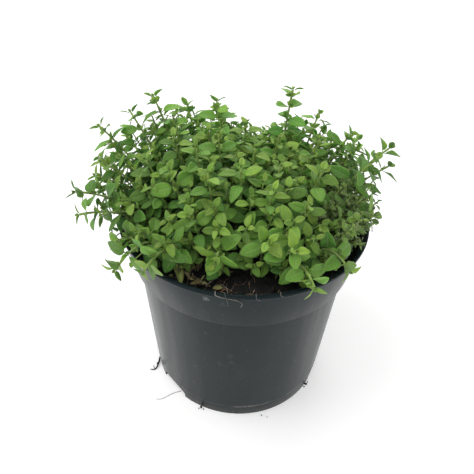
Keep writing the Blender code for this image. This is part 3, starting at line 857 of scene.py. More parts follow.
def tube_faces(rings, sides):
    """The faces of a closed tube: those between its rings of corners, then its two ends."""
    faces = []
    for ring in range(rings - 1):
        for corner in range(sides):
            a, b = ring * sides + corner, ring * sides + (corner + 1) % sides
            faces.append((a, b, b + sides, a + sides))
    last = (rings - 1) * sides
    return faces + [tuple(range(sides))[::-1], tuple(range(last, last + sides))]


def round_tube(path, start_width, end_width):
    """A closed round tube along a path, as vertices and faces."""
    vertices = []
    for index, (point, (axis, side)) in enumerate(zip(path, cross_directions(path, TUBE_SIDE))):
        other = axis.cross(side)
        half = (start_width + (end_width - start_width) * index / (len(path) - 1)) / 2
        for corner in range(TUBE_SIDES):
            turn = math.tau * corner / TUBE_SIDES
            vertices.append(point + (side * math.cos(turn) + other * math.sin(turn)) * half)
    return vertices, tube_faces(len(path), TUBE_SIDES)


def square_tube(path, foot_width, tip_width, first_side):
    """The plain square stem, thinner towards its tip, as vertices and faces."""
    vertices = []
    for index, (point, (axis, side)) in enumerate(zip(path, cross_directions(path, first_side))):
        other = axis.cross(side)
        half = (foot_width + (tip_width - foot_width) * index / (len(path) - 1)) / 2
        for a, b in ((1, 1), (-1, 1), (-1, -1), (1, -1)):
            vertices.append(point + side * a * half + other * b * half)
    return vertices, tube_faces(len(path), 4)


def curve_through(points):
    """A smooth path through a few points in millimetres."""
    points = [Vector(point) * MM for point in points]
    points = [2 * points[0] - points[1]] + points + [2 * points[-1] - points[-2]]
    path = []
    for before, start, end, after in zip(points, points[1:], points[2:], points[3:]):
        for step in range(CURVE_STEPS):
            share = step / CURVE_STEPS
            rest = 1 - share
            point = start * rest ** 2 * (1 + 2 * share) + end * share ** 2 * (3 - 2 * share)
            path.append(point + (end - before) / 2 * share * rest ** 2
                        - (after - start) / 2 * share ** 2 * rest)
    return path + [points[-2]]


def curved_tubes(rules):
    return [round_tube(curve_through(points), start * MM, end * MM) for points, start, end in rules]


# Loose small things

def loose_mesh(name, forms):
    """One mesh of several forms, each given as vertices and faces."""
    vertices, faces = [], []
    for form_vertices, form_faces in forms:
        start = len(vertices)
        vertices += [tuple(vertex) for vertex in form_vertices]
        faces += [tuple(corner + start for corner in face) for face in form_faces]
    mesh = bpy.data.meshes.new(name)
    mesh.from_pydata(vertices, [], faces)
    mesh.shade_smooth()
    return mesh


def lump_form():
    """An angular ball of radius 1, as an array of vertices and a list of faces."""
    form = bmesh.new()
    bmesh.ops.create_icosphere(form, subdivisions=1, radius=1)
    vertices = np.array([tuple(vertex.co) for vertex in form.verts])
    faces = [tuple(vertex.index for vertex in face.verts) for face in form.faces]
    form.free()
    return vertices, faces


def lump(form, place, size, flatness, draw):
    """A crumb: the ball with its corners pushed about, stretched and turned."""
    vertices, faces = form
    push = np.array([draw.uniform(0.7, 1.25) for _ in vertices])[:, None]
    stretch = np.array([draw.uniform(0.7, 1.4), draw.uniform(0.6, 1.0), draw.uniform(0.7, 1.1) * flatness])
    spin = Quaternion(UP, draw.uniform(0, math.tau))
    tilt = Quaternion((draw.uniform(-1, 1), draw.uniform(-1, 1), 0.2), 0.5)
    turn = np.array((spin @ tilt).normalized().to_matrix())
    moved = (vertices * push * stretch * size) @ turn.T + np.array(place)
    return [tuple(vertex) for vertex in moved], faces


def scattered_lumps(count, sizes, flatness, draw):
    form = lump_form()
    lumps = []
    for _ in range(count):
        size = sizes[0] + (sizes[1] - sizes[0]) * draw.random() ** 2
        reach = (soil_edge() - 1.5 * size) * math.sqrt(draw.random())
        turn = draw.uniform(0, math.tau)
        x, y = reach * math.cos(turn), reach * math.sin(turn)
        lumps.append(lump(form, (x, y, crumbly_height(x, y) + 0.4 * size * flatness), size, flatness, draw))
    return lumps


def fibre_path(x, y, length, draw):
    """A path that wanders over the soil."""
    heading = draw.uniform(0, math.tau)
    phase = draw.uniform(0, math.tau)
    path = []
    for step in range(max(3, round(length / FIBRE_STEP))):
        if math.hypot(x, y) > soil_edge() - 1 * MM:
            break
        lift = FIBRE_LIFT * (0.6 + math.sin(phase + step * 0.9))
        path.append(Vector((x, y, crumbly_height(x, y) + max(0, lift))))
        heading += math.radians(draw.uniform(-FIBRE_BEND, FIBRE_BEND))
        x += FIBRE_STEP * math.cos(heading)
        y += FIBRE_STEP * math.sin(heading)
    return path


def scattered_fibres(rules, draw):
    forms = []
    for count, box_x, box_y, lengths, widths in rules:
        most = len(forms) + count
        while len(forms) < most:
            path = fibre_path(draw.uniform(*box_x), draw.uniform(*box_y), draw.uniform(*lengths), draw)
            if len(path) > 2:
                width = draw.uniform(*widths)
                forms.append(round_tube(path, width, width * 0.6))
    return forms


def outer_radius(height):
    """The radius of the collar's outside at a height."""
    share = (height - POT_HEIGHT + COLLAR_HEIGHT) / COLLAR_HEIGHT
    return COLLAR_FOOT_RADIUS + (RIM_RADIUS - COLLAR_FOOT_RADIUS) * min(1, share)


def rim_root(soil_x, rim_x, outside, width):
    """A root from the soil up the inside of the collar, over the rim and down its outside."""
    def at(x, radius, z):
        return (x, -math.sqrt(radius ** 2 - (x * MM) ** 2) / MM, z)

    clear = RIM_CLEARANCE
    top = POT_HEIGHT / MM + 0.35
    inner = RIM_RADIUS - LIP_OVERHANG - WALL - clear
    points = [
        at(soil_x, soil_edge() - 5 * MM, SOIL_LEVEL / MM + 1.5),
        at((soil_x + rim_x) / 2, soil_edge() - clear, SOIL_LEVEL / MM + 6),
        at(rim_x, inner, top - 1),
        at(rim_x + 0.3, RIM_RADIUS - WALL / 2, top + 0.5),
        at(rim_x + 0.6, RIM_RADIUS + clear, top - 1),
        *(at(x, outer_radius(z * MM) + clear, z) for x, z in outside),
    ]
    return round_tube(curve_through(points), width * MM, width * MM * 0.5)


def withered_place(draw):
    """A place on the soil in the left of the bare patch."""
    while True:
        x, y = (draw.gauss(*rule) for rule in zip(WITHERED_CENTRE, WITHERED_SPREAD))
        if math.hypot(x, y) < soil_edge() - 3 * MM:
            return x, y


def twig_forms(draw):
    """Dry leafless twigs that lean about in the bare patch."""
    forms = []
    for _ in range(DRY_TWIGS):
        x, y = withered_place(draw)
        length = draw.uniform(*DRY_TWIG_LENGTH)
        lean = Vector([draw.uniform(*limits) for limits in DRY_TWIG_LEAN]).normalized()
        foot = Vector((x, y, soil_height(x, y) - 2 * MM))
        bow = Vector([draw.uniform(-DRY_TWIG_BOW, DRY_TWIG_BOW) for _ in range(2)] + [0])
        middle = foot + (lean + bow) * length / 2
        path = curve_through([point / MM for point in (foot, middle, foot + lean * length)])
        reach = soil_edge() - 1 * MM
        if all(point.to_2d().length < reach or point.z > POT_HEIGHT + 1 * MM for point in path):
            forms.append(round_tube(path, *DRY_TWIG_WIDTHS))
    return forms


def withered_leaf(root, direction, length, age, draw):
    direction = direction.normalized()
    face = Vector((draw.uniform(-0.5, 0.5), draw.uniform(-0.6, 0.3), 1))
    face = (face - direction * face.dot(direction)).normalized()
    leaf = drawn(draw, WITHERED_TRAITS)
    leaf.update(pose=(root, direction, face), length=length, width=length * leaf["width"], age=age, dull=0.0)
    return leaf


def withered_leaves(draw):
    """Dry leaves that lie on the soil, most of them in the bare patch, and a long yellow one."""
    leaves = []
    for _ in range(WITHERED_LEAVES):
        x, y = withered_place(draw)
        root = Vector((x, y, crumbly_height(x, y) + draw.uniform(*WITHERED_LIFT) * MM))
        direction = Vector([draw.uniform(*limits) for limits in WITHERED_LEAN])
        length = draw.uniform(*WITHERED_LENGTH)
        leaf = withered_leaf(root, direction, length, draw.uniform(*WITHERED_AGE), draw)
        tip = root + leaf["pose"][1] * leaf["length"]
        if tip.to_2d().length < soil_edge() - 1 * MM and tip.z > soil_height(tip.x, tip.y):
            leaves.append(leaf)
    start, end = (Vector(place) * MM for place in LONG_LEAF[:2])
    long_leaf = withered_leaf(start, end - start, (end - start).length, LONG_LEAF[2], draw)
    long_leaf.update(LONG_LEAF_FORM)
    return leaves + [long_leaf]


def make_litter(soil, leaf):
    draw = random.Random(LITTER_SEED)
    bark = {name: bark_finish(name) for name in BARKS}
    black = curved_tubes(BLACK_ROOTS)
    for x, y, size in FLOOR_BITS:
        place = (x * MM, y * MM, size * MM)
        black.append(lump(lump_form(), place, size * MM, FLOOR_BIT_FLATNESS, draw))
    pieces = (
        ("soil_crumbs", scattered_lumps(*CRUMBS, draw), soil, "soil"),
        ("bark_chips", scattered_lumps(*CHIPS, draw), bark["dark_bark"], "soil"),
        ("front_fibres", scattered_fibres(FRONT_FIBRES, draw), bark["dry_fibre"], "soil"),
        ("soil_fibres", scattered_fibres(OTHER_FIBRES, draw), bark["dark_bark"], "soil"),
        ("pale_roots", curved_tubes(PALE_ROOTS) + [rim_root(*rule) for rule in RIM_ROOTS],
         bark["pale_root"], "soil"),
        ("black_roots", black, bark["black_root"], "soil"),
        ("dry_twigs", twig_forms(draw), bark["dry_twig"], "oregano_leaf"),
    )
    for name, forms, material, slot in pieces:
        piece(add_object(name, loose_mesh(name, forms), material), slot)
    mesh = joined("withered_leaves", leaf_parts(withered_leaves(draw)))
    piece(add_object("withered_leaves", mesh, leaf), "oregano_leaf")


# Stems

def bend(foot, knee, tip, share):
    """A point on the curve that leaves the foot towards the knee and ends at the tip."""
    return foot.lerp(knee, share).lerp(knee.lerp(tip, share), share)


def stem_path(foot, tip, rise, rings):
    """Upright out of the soil to the mouth of its hole, then curving out to the tip."""
    mouth = Vector((foot.x, foot.y, soil_height(foot.x, foot.y) + STEM_WIDTH))
    lean = (tip - mouth) * Vector((1, 1, 0))
    knee = mouth + lean * KNEE_SHARE + Vector((0, 0, rise))
    return [foot] + [bend(mouth, knee, tip, step / (rings - 2)) for step in range(rings - 1)]


def along_path(path, distance):
    """The point, the direction and the next point's number on a path, at a distance down from its tip."""
    for number in range(len(path) - 1, 0, -1):
        upper, lower = path[number], path[number - 1]
        length = (upper - lower).length
        if distance <= length:
            return upper.lerp(lower, distance / length), (upper - lower).normalized(), number
        distance -= length
    return path[0], UP.copy(), 0


def new_stem(tip, rise, root_share, pairs, turn, vigour, breadth, widths):
    root = tip.to_2d() * root_share
    foot = Vector((root.x, root.y, soil_height(root.x, root.y) - STEM_HOLE_DEPTH))
    wide = [width + 2 * CLEARANCE for width in widths]
    path = stem_path(foot, tip, rise, STEM_RINGS)
    side = Vector((math.cos(turn), math.sin(turn), 0))
    return {"tip": tip, "path": path, "fine": stem_path(foot, tip, rise, FINE_RINGS), "side": side,
            "across": cross_directions(path, side), "vigour": vigour, "breadth": breadth, "pairs": pairs,
            "widths": widths, "dull": 0.0, "leaves": [], "tree": tree_of(square_tube(path, *wide, side))}


def is_bare(x, y, margin=1):
    """Whether a place is in the bare patch, or in one that is wider by the margin."""
    wide, deep = (reach * margin for reach in BARE_REACH)
    return math.hypot((x - BARE_PATCH[0]) / wide, (y - BARE_PATCH[1]) / deep) < 1


def is_thin_side(x, y):
    radius, first, last = THIN_SIDE
    aside, back = x - FILL_CENTRE[0], y - FILL_CENTRE[1]
    return math.hypot(aside, back) > radius and first < math.atan2(back, aside) < last


def about_centre(radius, turn):
    return FILL_CENTRE[0] + radius * math.cos(turn), FILL_CENTRE[1] + radius * math.sin(turn)


def place_stems():
    """The CAD's stems: the leading ones, then those of the spiral that find room."""
    draw = random.Random(STEM_SEED)
    stems = []
    for place, rise, root_share in LEADING_STEMS:
        add_stem(stems, Vector(place) * MM, rise * MM, root_share, len(PAIRS), LEADING_VIGOUR, draw)
    for index in range(FILL_STEMS):
        radius = FILL_RADIUS * math.sqrt((index + 0.5) / FILL_STEMS)
        turn = index * GOLDEN_ANGLE
        x, y = about_centre(radius, turn)
        edge_drop = BACK_DROP + (FRONT_DROP - BACK_DROP) * (1 - math.sin(turn)) / 2
        drop = edge_drop * (radius / FILL_RADIUS) ** 3
        tip = Vector((x, y, FILL_TOP - drop + draw.uniform(-HEIGHT_SPREAD, HEIGHT_SPREAD)))
        crowded = any((tip - stem["tip"]).to_2d().length < FILL_SPACING for stem in stems)
        if not crowded and not is_bare(x, y) and len(stems) < MOST_STEMS:
            add_stem(stems, tip, FILL_RISE, FILL_ROOT_SHARE, FILL_PAIRS, FILL_VIGOUR, draw)
    return stems


def add_stem(stems, tip, rise, root_share, pairs, vigours, draw):
    """Adds a stem, unless it would cross one that stands already."""
    turn = draw.uniform(0, math.pi / 2)
    vigour = draw.uniform(*vigours)
    breadth = draw.uniform(*BREADTH)
    made = new_stem(tip, rise, root_share, PAIRS[:pairs], turn, vigour, breadth, (STEM_WIDTH, TIP_WIDTH))
    if not any(made["tree"].overlap(stem["tree"]) for stem in stems):
        stems.append(made)


# Leaves

def plain_leaf(root, direction, face, length, width, droop, swell=0.0):
    """The CAD's leaf, as vertices and faces. It stands for the fine leaf where room is looked for."""
    across = direction.cross(face).normalized()
    petiole = length * PETIOLE_SHARE

    def place(distance, aside, level):
        sag = droop * distance * distance / length
        return root + direction * distance + across * aside + face * (level - sag)

    outline = next(rows for most, rows in PLAIN_OUTLINES if length < most * LEAF_LENGTH)
    rows = [(petiole + share * (length - petiole), half * width + swell) for share, half in outline]
    count = 2 * len(rows) + 2
    vertices = []
    for level in (BLADE_THICKNESS / 2 + swell, -BLADE_THICKNESS / 2 - swell):
        vertices.append(place(-swell, 0, level))
        for distance, half in rows:
            vertices += [place(distance, half, level), place(distance, -half, level)]
        vertices.append(place(length + swell, 0, level))
    last = len(rows) - 1
    upper = [(0, 1, 2), (count - 1, 2 * last + 2, 2 * last + 1)]
    upper += [(2 * row + 1, 2 * row + 3, 2 * row + 4, 2 * row + 2) for row in range(last)]
    lower = [tuple(corner + count for corner in face_corners[::-1]) for face_corners in upper]
    rim = [0] + [2 * row + 1 for row in range(last + 1)] + [count - 1]
    rim += [2 * row + 2 for row in range(last, -1, -1)]
    sides = [(a, b, b + count, a + count) for a, b in zip(rim, rim[1:] + rim[:1])]
    return vertices, upper + lower + sides


def tree_of(form):
    vertices, faces = form
    return BVHTree.FromPolygons([tuple(v) for v in vertices], faces)


def leaf_pose(stem, index, pair, side, spin, tilt, roll):
    """Where one leaf of a pair starts, which way it points and which way its upper face looks."""
    distance, _, angle = pair
    point, axis, number = along_path(stem["path"], distance)
    across = stem["across"][number][1]
    across = (across - axis * across.dot(axis)).normalized()
    turn = math.pi / 2 * index + math.pi * side + math.radians(spin)
    level = across * math.cos(turn) + axis.cross(across) * math.sin(turn)
    lean = math.radians(angle + tilt)
    direction = axis * math.cos(lean) + level * math.sin(lean)
    face = axis * math.sin(lean) - level * math.cos(lean)
    opened = min(1, distance / OPEN_DISTANCE)
    direction.z *= 1 - LEVEL_SHARE * opened
    direction.normalize()
    light = LIGHT + Vector((point.x, point.y, 0)) / RIM_RADIUS * OUTWARD_LIGHT
    face = face.lerp(light.normalized(), LIGHT_SHARE * opened)
    face = (face - direction * face.dot(direction)).normalized()
    face.rotate(Quaternion(direction, math.radians(roll)))
    return point + level * ROOT_OFFSET, direction, face


class Thicket:
    """The stems and leaves grown so far, kept by cells of space so that near ones are found quickly."""

    def __init__(self, obstacles, stems):
        self.obstacles = obstacles
        self.stems = stems
        self.leaves = {}

    def cell(self, place):
        return tuple(math.floor(value / NEAR) for value in place)

    def near_leaves(self, middle):
        x, y, z = self.cell(middle)
        for cell in ((x + i, y + j, z + k) for i in (-1, 0, 1) for j in (-1, 0, 1) for k in (-1, 0, 1)):
            for leaf in self.leaves.get(cell, ()):
                if (leaf[1] - middle).length < NEAR:
                    yield leaf

    def add_leaf(self, owner, middle, tree):
        self.leaves.setdefault(self.cell(middle), []).append((owner, middle, tree))

    def has_room(self, owner, middle, own_tree, wide_tree):
        if any(wide_tree.overlap(tree) for tree in self.obstacles):
            return False
        if any(wide_tree.overlap(stem["tree"]) for i, stem in enumerate(self.stems) if i != owner):
            return False
        near = self.near_leaves(middle)
        return not any((own_tree if who == owner else wide_tree).overlap(tree) for who, _, tree in near)

    def crossed(self, stem):
        """How many leaves near its tip a stem crosses."""
        near = (leaf for cell in self.leaves.values() for leaf in cell
                if (leaf[1] - stem["tip"]).length < 3 * NEAR)
        return sum(1 for leaf in near if stem["tree"].overlap(leaf[2]))


def grow_pair(thicket, owner, index, pair, draw):
    """The leaves of a pair, each turned, tilted and made smaller until it finds room, or left out."""
    stem = thicket.stems[owner]
    for side in (0, 1):
        share = pair[1] * stem["vigour"] * draw.uniform(*SIZE_SPREAD)
        droop = draw.uniform(*DROOP)
        spin_drawn = draw.uniform(-SPIN_SPREAD, SPIN_SPREAD)
        tilt_drawn = draw.uniform(-TILT_SPREAD, TILT_SPREAD)
        roll = draw.uniform(-ROLL_SPREAD, ROLL_SPREAD)
        for spin, tilt, scale in LEAF_TRIES:
            pose = leaf_pose(stem, index, pair, side, spin_drawn + spin, tilt_drawn + tilt, roll)
            length = LEAF_LENGTH * share * scale
            width = LEAF_WIDTH * share * scale * stem["breadth"]
            middle = pose[0] + pose[1] * length / 2
            own_tree = tree_of(plain_leaf(*pose, length, width, droop))
            wide_tree = tree_of(plain_leaf(*pose, length, width, droop, CLEARANCE))
            if thicket.has_room(owner, middle, own_tree, wide_tree):
                thicket.add_leaf(owner, middle, own_tree)
                stem["leaves"].append({"pose": pose, "length": length, "width": width, "droop": droop,
                                       "distance": pair[0]})
                break


def grow_cad_leaves(thicket):
    draw = random.Random(LEAF_SEED)
    for index, pair in enumerate(PAIRS):
        for owner, stem in enumerate(thicket.stems):
            if index < len(stem["pairs"]):
                grow_pair(thicket, owner, index, pair, draw)


def canopy(x, y, stems):
    """The height of the plant's top between the tips of the CAD's stems, or None outside them."""
    place = Vector((x, y))
    weights = []
    for stem in stems:
        apart = (stem["tip"].to_2d() - place).length
        weights.append((1 / (apart * apart + CANOPY_SOFT ** 2), min(stem["tip"].z, CANOPY_TOP), apart))
    if min(weight[2] for weight in weights) > CANOPY_REACH:
        return None
    return sum(w * z for w, z, _ in weights) / sum(w for w, _, _ in weights)


def tip_height(x, y, leading, rule, draw):
    """The height of an added shoot's tip, or None where the plant has no top."""
    if "height" in rule:
        return draw.uniform(*rule["height"]) * MM
    top = canopy(x, y, leading)
    drop = draw.uniform(*rule["below"]) * MM
    return top and top - drop


def place_fillers(thicket, leading, rule):
    """More shoots, spread by a spiral, each where it crosses the fewest leaves."""
    draw = random.Random(rule["seed"])
    inner, outer = (value * MM for value in rule["radius"])
    first, last = (math.radians(value) for value in rule["azimuth"])
    owners = []
    for index in range(rule["tries"]):
        share = (index + 0.5) / rule["tries"]
        radius = math.sqrt(inner ** 2 + share * (outer ** 2 - inner ** 2))
        turn = first + (index * GOLDEN_ANGLE) % math.tau * (last - first) / math.tau
        x, y = about_centre(radius, turn)
        top = tip_height(x, y, leading, rule, draw)
        if top is None or is_bare(x, y, BARE_MARGIN):
            continue
        if is_thin_side(x, y) and rule["name"] != THIN_SIDE_SHOOTS:
            continue
        tip = Vector((x, y, top))
        if all((tip - stem["tip"]).length >= rule["spacing"] * MM for stem in thicket.stems):
            add_filler(thicket, tip, rule, draw)
            owners.append(len(thicket.stems) - 1)
    return owners


def add_filler(thicket, tip, rule, draw):
    turn = draw.uniform(0, math.pi / 2)
    vigour = draw.uniform(*rule["vigour"])
    breadth = draw.uniform(*BREADTH)
    gap = rule["gap"] * draw.uniform(*GAP_SPREAD)
    chosen = (PAIRS + LOWER_PAIRS)[:rule["pairs"]]
    pairs = tuple((distance * gap, share, angle) for distance, share, angle in chosen)
    fewest, best = math.inf, None
    for attempt in range(SHOOT_TRIES):
        shift = Vector([draw.uniform(-SHOOT_SHIFT, SHOOT_SHIFT) if attempt else 0 for _ in range(3)])
        stem = new_stem(tip + shift, rule["rise"] * MM, rule["root"], pairs, turn, vigour, breadth,
                        SHOOT_WIDTHS)
        crossed = thicket.crossed(stem)
        if crossed < fewest:
            fewest, best = crossed, stem
        if not crossed:
            break
    best["dull"] = rule["dull"]
    thicket.stems.append(best)


def grow_fillers(thicket, owners, rule):
    draw = random.Random(rule["seed"] + SEED_STEP)
    for index in range(rule["pairs"]):
        for owner in owners:
            grow_pair(thicket, owner, index, thicket.stems[owner]["pairs"][index], draw)


def grow_lower_leaves(thicket, count):
    """The shaded pairs below those of the CAD."""
    draw = random.Random(LOWER_LEAF_SEED)
    for owner in range(count):
        stem = thicket.stems[owner]
        place = stem["tip"].x, stem["tip"].y
        if is_thin_side(*place) or is_bare(*place, LOWER_BARE_MARGIN):
            continue
        first = len(stem["pairs"])
        for index, pair in enumerate(PAIRS[first:] + LOWER_PAIRS, first):
            grow_pair(thicket, owner, index, pair, draw)


# Fine leaf and stem meshes

def blade_grid(shares, columns):
    """One closed blade's layout: where each vertex is along and across it, its side, and the faces.

    The upper and the lower side share the vertices of the rim.
    """
    rows, width = len(shares), len(columns)
    upper = np.arange(rows * width).reshape(rows, width)
    inner = upper[1:-1, 1:-1].ravel()
    lower = upper.copy()
    lower[1:-1, 1:-1] = (rows * width + np.arange(inner.size)).reshape(rows - 2, width - 2)
    along = np.repeat(shares, width)
    across = np.tile(columns, rows)
    side = np.zeros(rows * width)
    side[inner] = 1
    quads = [np.stack([grid[:-1, :-1], grid[:-1, 1:], grid[1:, 1:], grid[1:, :-1]], -1).reshape(-1, 4)
             for grid in (upper, lower)]
    return (np.append(along, along[inner]), np.append(across, across[inner]),
            np.append(side, -side[inner]), np.concatenate([quads[0], quads[1][:, ::-1]]))


GRIDS = {size: blade_grid(rows, columns) for size, (_, rows, columns) in LAYOUTS.items()}


def grid_size(length):
    return next(size for size, (least, _, _) in LAYOUTS.items() if length > least)


def shape_leaves(leaves, size):
    """Vertices, faces and attributes of all the leaves that share a layout."""
    share, across, side, quads = GRIDS[size]

    def values(name):
        return np.array([leaf[name] for leaf in leaves])[:, None]

    length, width, droop, fold, curl, twist, wave, phase, sweep = (
        values(name) for name in
        ("length", "width", "droop", "fold", "curl", "twist", "wave", "phase", "sweep"))
    root, direction, face = (np.array([leaf["pose"][i] for leaf in leaves])[:, None] for i in range(3))
    blade = (share - PETIOLE_SHARE) / (1 - PETIOLE_SHARE)
    inside = np.clip(blade, 0, 1)
    bluntness = BASE_BLUNT + (TIP_BLUNT - BASE_BLUNT) * inside
    outline = np.sin(np.pi * inside ** OUTLINE_SKEW) ** bluntness
    stalk = PETIOLE_HALF_WIDTH * np.clip(length / LEAF_LENGTH, 0.45, 1)
    half = np.maximum(width / 2 * outline, np.where(inside < 0.5, stalk, TIP_HALF_WIDTH))
    distance = share * length
    rounding = np.sqrt(np.clip(1 - across ** 2, 0, 1))
    thickness = np.where(blade <= 0.02, PETIOLE_THICKNESS * stalk / PETIOLE_HALF_WIDTH, LEAF_THICKNESS)
    ripple = wave * np.sin(2 * np.pi * (inside * 1.7 + phase) + across * 1.3) * np.abs(across) ** 1.5
    level = (fold * np.abs(across) + curl * across ** 2 + ripple) * half * outline
    level = level - CREASE_DEPTH * np.exp(-(across / CREASE_WIDTH) ** 2) * outline
    level = level + side * thickness / 2 * rounding
    aside = across * half
    angle = twist * share
    turned_aside = aside * np.cos(angle) - level * np.sin(angle) + sweep * distance ** 2 / length
    turned_level = aside * np.sin(angle) + level * np.cos(angle) - droop * distance ** 2 / length
    vertices = (root + direction * distance[..., None]
                + np.cross(direction, face) * turned_aside[..., None] + face * turned_level[..., None])
    count = len(leaves)
    full = np.ones((count, share.size))
    blades = np.stack([full * blade, full * across, full * values("age")], -1)
    beneath = full * np.where(side < 0, -1.0, 0.0)
    tints = np.stack([full * values("light"), full * values("dull"), beneath], -1)
    faces = (quads[None] + (np.arange(count) * share.size)[:, None, None]).reshape(-1, 4)
    return vertices.reshape(-1, 3), faces, blades.reshape(-1, 3), tints.reshape(-1, 3)


def fine_stem(stem):
    """The stem with its rounded corners, swollen where leaves stand."""
    path = stem["fine"]
    lengths = [(b - a).length for a, b in zip(path, path[1:])]
    total = sum(lengths)
    nodes = [leaf["distance"] for leaf in stem["leaves"]]
    foot_width, tip_width = stem["widths"]
    turns = np.linspace(0, math.tau, STEM_SIDES, endpoint=False)
    square = 1 / (np.abs(np.cos(turns)) ** 4 + np.abs(np.sin(turns)) ** 4) ** 0.25
    vertices, ages = [], []
    done = 0
    directions = cross_directions(path, stem["side"])
    for point, (axis, side), length in zip(path, directions, lengths + [0]):
        other = axis.cross(side)
        below = total - done
        swell = max([math.exp(-((below - node) / NODE_SIZE) ** 2) for node in nodes], default=0)
        half = (foot_width + (tip_width - foot_width) * done / total) / 2 * (1 + NODE_SWELL * swell)
        for turn, reach in zip(turns, square):
            vertices.append(point + (side * math.cos(turn) + other * math.sin(turn)) * half * reach)
            ages.append(min(1, below / AGE_LENGTH * OLDEST_GREEN))
        done += length
    faces = tube_faces(len(path), STEM_SIDES)[:-2]
    count = len(vertices)
    for first in (0, count - STEM_SIDES):
        ring = list(range(first, first + STEM_SIDES))
        quads = [(ring[0], ring[i], ring[i + 1], ring[i + 2]) for i in range(1, STEM_SIDES - 2, 2)]
        faces += [quad[::-1] for quad in quads] if first == 0 else quads
    blades = np.column_stack([np.zeros((count, 2)), ages])
    tints = np.tile((stem["shade"], stem["dull"], 2), (count, 1))
    return np.array(vertices), np.array(faces), blades, tints


def dress_leaves(stem, draw):
    """Gives each leaf the bends and colour that the plain one lacks, and adds the small leaves of buds."""
    stem["shade"] = draw.uniform(-STEM_SHADE, STEM_SHADE)
    fresh = FRESH_FRONT if stem["tip"].y < FRONT_LINE and not stem["dull"] else 0
    # Leaves at the back are painted lighter: painted light from behind
    painted_back_light = BACK_PAINTED_LIGHT * min(1, max(0, (stem["tip"].y - BACK_LINE) / BACK_DEPTH))
    buds = [tip_bud(stem, side, draw) for side in (0, 1)]
    for leaf in stem["leaves"]:
        leaf.update(drawn(draw, LEAF_TRAITS))
        young = max(0, 1 - leaf["distance"] / YOUNG_LENGTH)
        leaf["fold"] += YOUNG_FOLD * young
        leaf["curl"] += YOUNG_CURL * young
        leaf["age"] = min(OLDEST_GREEN, max(0, leaf["distance"] / AGE_LENGTH + leaf["age"] - fresh))
        fine, plain = (along_path(stem[path], leaf["distance"])[0] for path in ("fine", "path"))
        root, direction, face = leaf["pose"]
        leaf["pose"] = (root + (fine - plain), direction, face)
        if leaf["distance"] > BUD_DISTANCE and draw.random() < BUD_CHANCE:
            buds += axil_bud(leaf, draw)
    stem["leaves"] += buds
    for leaf in stem["leaves"]:
        leaf.update(drawn(draw, COMMON_TRAITS))
        leaf["light"] = SHADE_SHARE * stem["shade"] + leaf["light"] + painted_back_light
        leaf["dull"] *= stem["dull"]


def tip_bud(stem, side, draw):
    """One of the two smallest leaves, which still stand upright at the tip."""
    point, axis, _ = along_path(stem["fine"], BUD_OFFSET)
    level = axis.cross(stem["across"][-1][1]).normalized() * (1 - 2 * side)
    lean = math.radians(draw.uniform(*TIP_BUD_LEAN))
    length = TIP_BUD_LEAF * stem["vigour"] * draw.uniform(0.85, 1.15)
    direction = axis * math.cos(lean) + level * math.sin(lean)
    face = axis * math.sin(lean) - level * math.cos(lean)
    return {"pose": (point, direction, face), "length": length, "width": length * 0.6, "droop": 0.05,
            "distance": 0.0, "fold": 0.5, "curl": 0.4, "age": draw.uniform(0, 0.05)}


def axil_bud(leaf, draw):
    """The two or three small leaves of the side shoot in a leaf's axil."""
    root, direction, face = leaf["pose"]
    sideways = direction.cross(face)
    made = []
    for offset in (-1, 1, 0)[:draw.choice(BUD_COUNTS)]:
        length = draw.uniform(*BUD_LEAF) * min(1, leaf["length"] / LEAF_LENGTH + 0.2)
        out = face * draw.uniform(0.75, 1.0) + direction * draw.uniform(0.05, 0.45)
        out = (out + sideways * offset * draw.uniform(0.45, 0.95)).normalized()
        look = (face - out * face.dot(out) + direction * -0.4 * out.dot(face)).normalized()
        look = (look - out * look.dot(out)).normalized()
        bud = drawn(draw, BUD_TRAITS)
        bud.update(pose=(root + face * BUD_OFFSET, out, look), length=length, width=length * bud["width"],
                   distance=leaf["distance"], curl=BUD_CURL,
                   age=max(0, leaf["age"] * BUD_AGE_SHARE + bud["age"]))
        made.append(bud)
    return made


def leaf_parts(leaves):
    """The leaves' shapes, those of one layout together."""
    groups = {size: [leaf for leaf in leaves if grid_size(leaf["length"]) == size] for size in GRIDS}
    return [shape_leaves(chosen, size) for size, chosen in groups.items() if chosen]


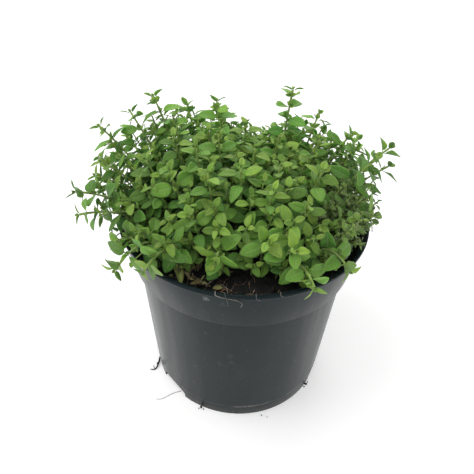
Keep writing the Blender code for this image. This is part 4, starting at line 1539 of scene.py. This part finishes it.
def joined(name, parts):
    """One mesh of several parts, with the attributes that the finish reads."""
    starts = np.cumsum([0] + [len(part[0]) for part in parts[:-1]])
    vertices = np.concatenate([part[0] for part in parts])
    faces = np.concatenate([part[1] + start for part, start in zip(parts, starts)])
    mesh = bpy.data.meshes.new(name)
    mesh.from_pydata(vertices.tolist(), [], faces.tolist())
    for label, index in (("blade", 2), ("tint", 3)):
        data = np.concatenate([part[index] for part in parts]).astype(np.float32)
        mesh.attributes.new(label, "FLOAT_VECTOR", "POINT").data.foreach_set("vector", data.ravel())
    mesh.shade_smooth()
    return mesh


def add_leafy_piece(name, stems, material, *replaced):
    """One piece of several stems and their leaves."""
    leaves = [leaf for stem in stems for leaf in stem["leaves"]]
    mesh = joined(name, [fine_stem(stem) for stem in stems] + leaf_parts(leaves))
    piece(add_object(name, mesh, material), "oregano_leaf", *replaced)


def make_plant(material, obstacles):
    thicket = Thicket(obstacles, place_stems())
    grow_cad_leaves(thicket)
    leading = list(thicket.stems)
    groups = [place_fillers(thicket, leading, rule) for rule in FILLERS]
    for owners, rule in zip(groups, FILLERS):
        grow_fillers(thicket, owners, rule)
    grow_lower_leaves(thicket, len(leading))
    draw = random.Random(DRESS_SEED)
    for stem in thicket.stems:
        dress_leaves(stem, draw)
    for number, stem in enumerate(leading, 1):
        add_leafy_piece(f"leafy_stem_{number:02d}", [stem], material, f"stem_{number:02d}")
    for owners, rule in zip(groups, FILLERS):
        for number, start in enumerate(range(0, len(owners), rule["share"]), 1):
            chosen = [thicket.stems[owner] for owner in owners[start:start + rule["share"]]]
            add_leafy_piece(f"{rule['name']}_{number:02d}", chosen, material)


def frame_tree(node):
    mesh = node.data
    return tree_of(([vertex.co.copy() for vertex in mesh.vertices],
                    [tuple(polygon.vertices) for polygon in mesh.polygons]))


def main():
    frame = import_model()
    bpy.context.scene.view_settings.view_transform = "Standard"
    place_camera()
    place_lights()
    make_floor()
    obstacles = [frame_tree(frame["nodes"][name]) for name in ("pot", "soil")]
    make_pot()
    soil, leaf = soil_finish(), leaf_finish()
    make_soil(soil)
    make_litter(soil, leaf)
    make_plant(leaf, obstacles)


main()
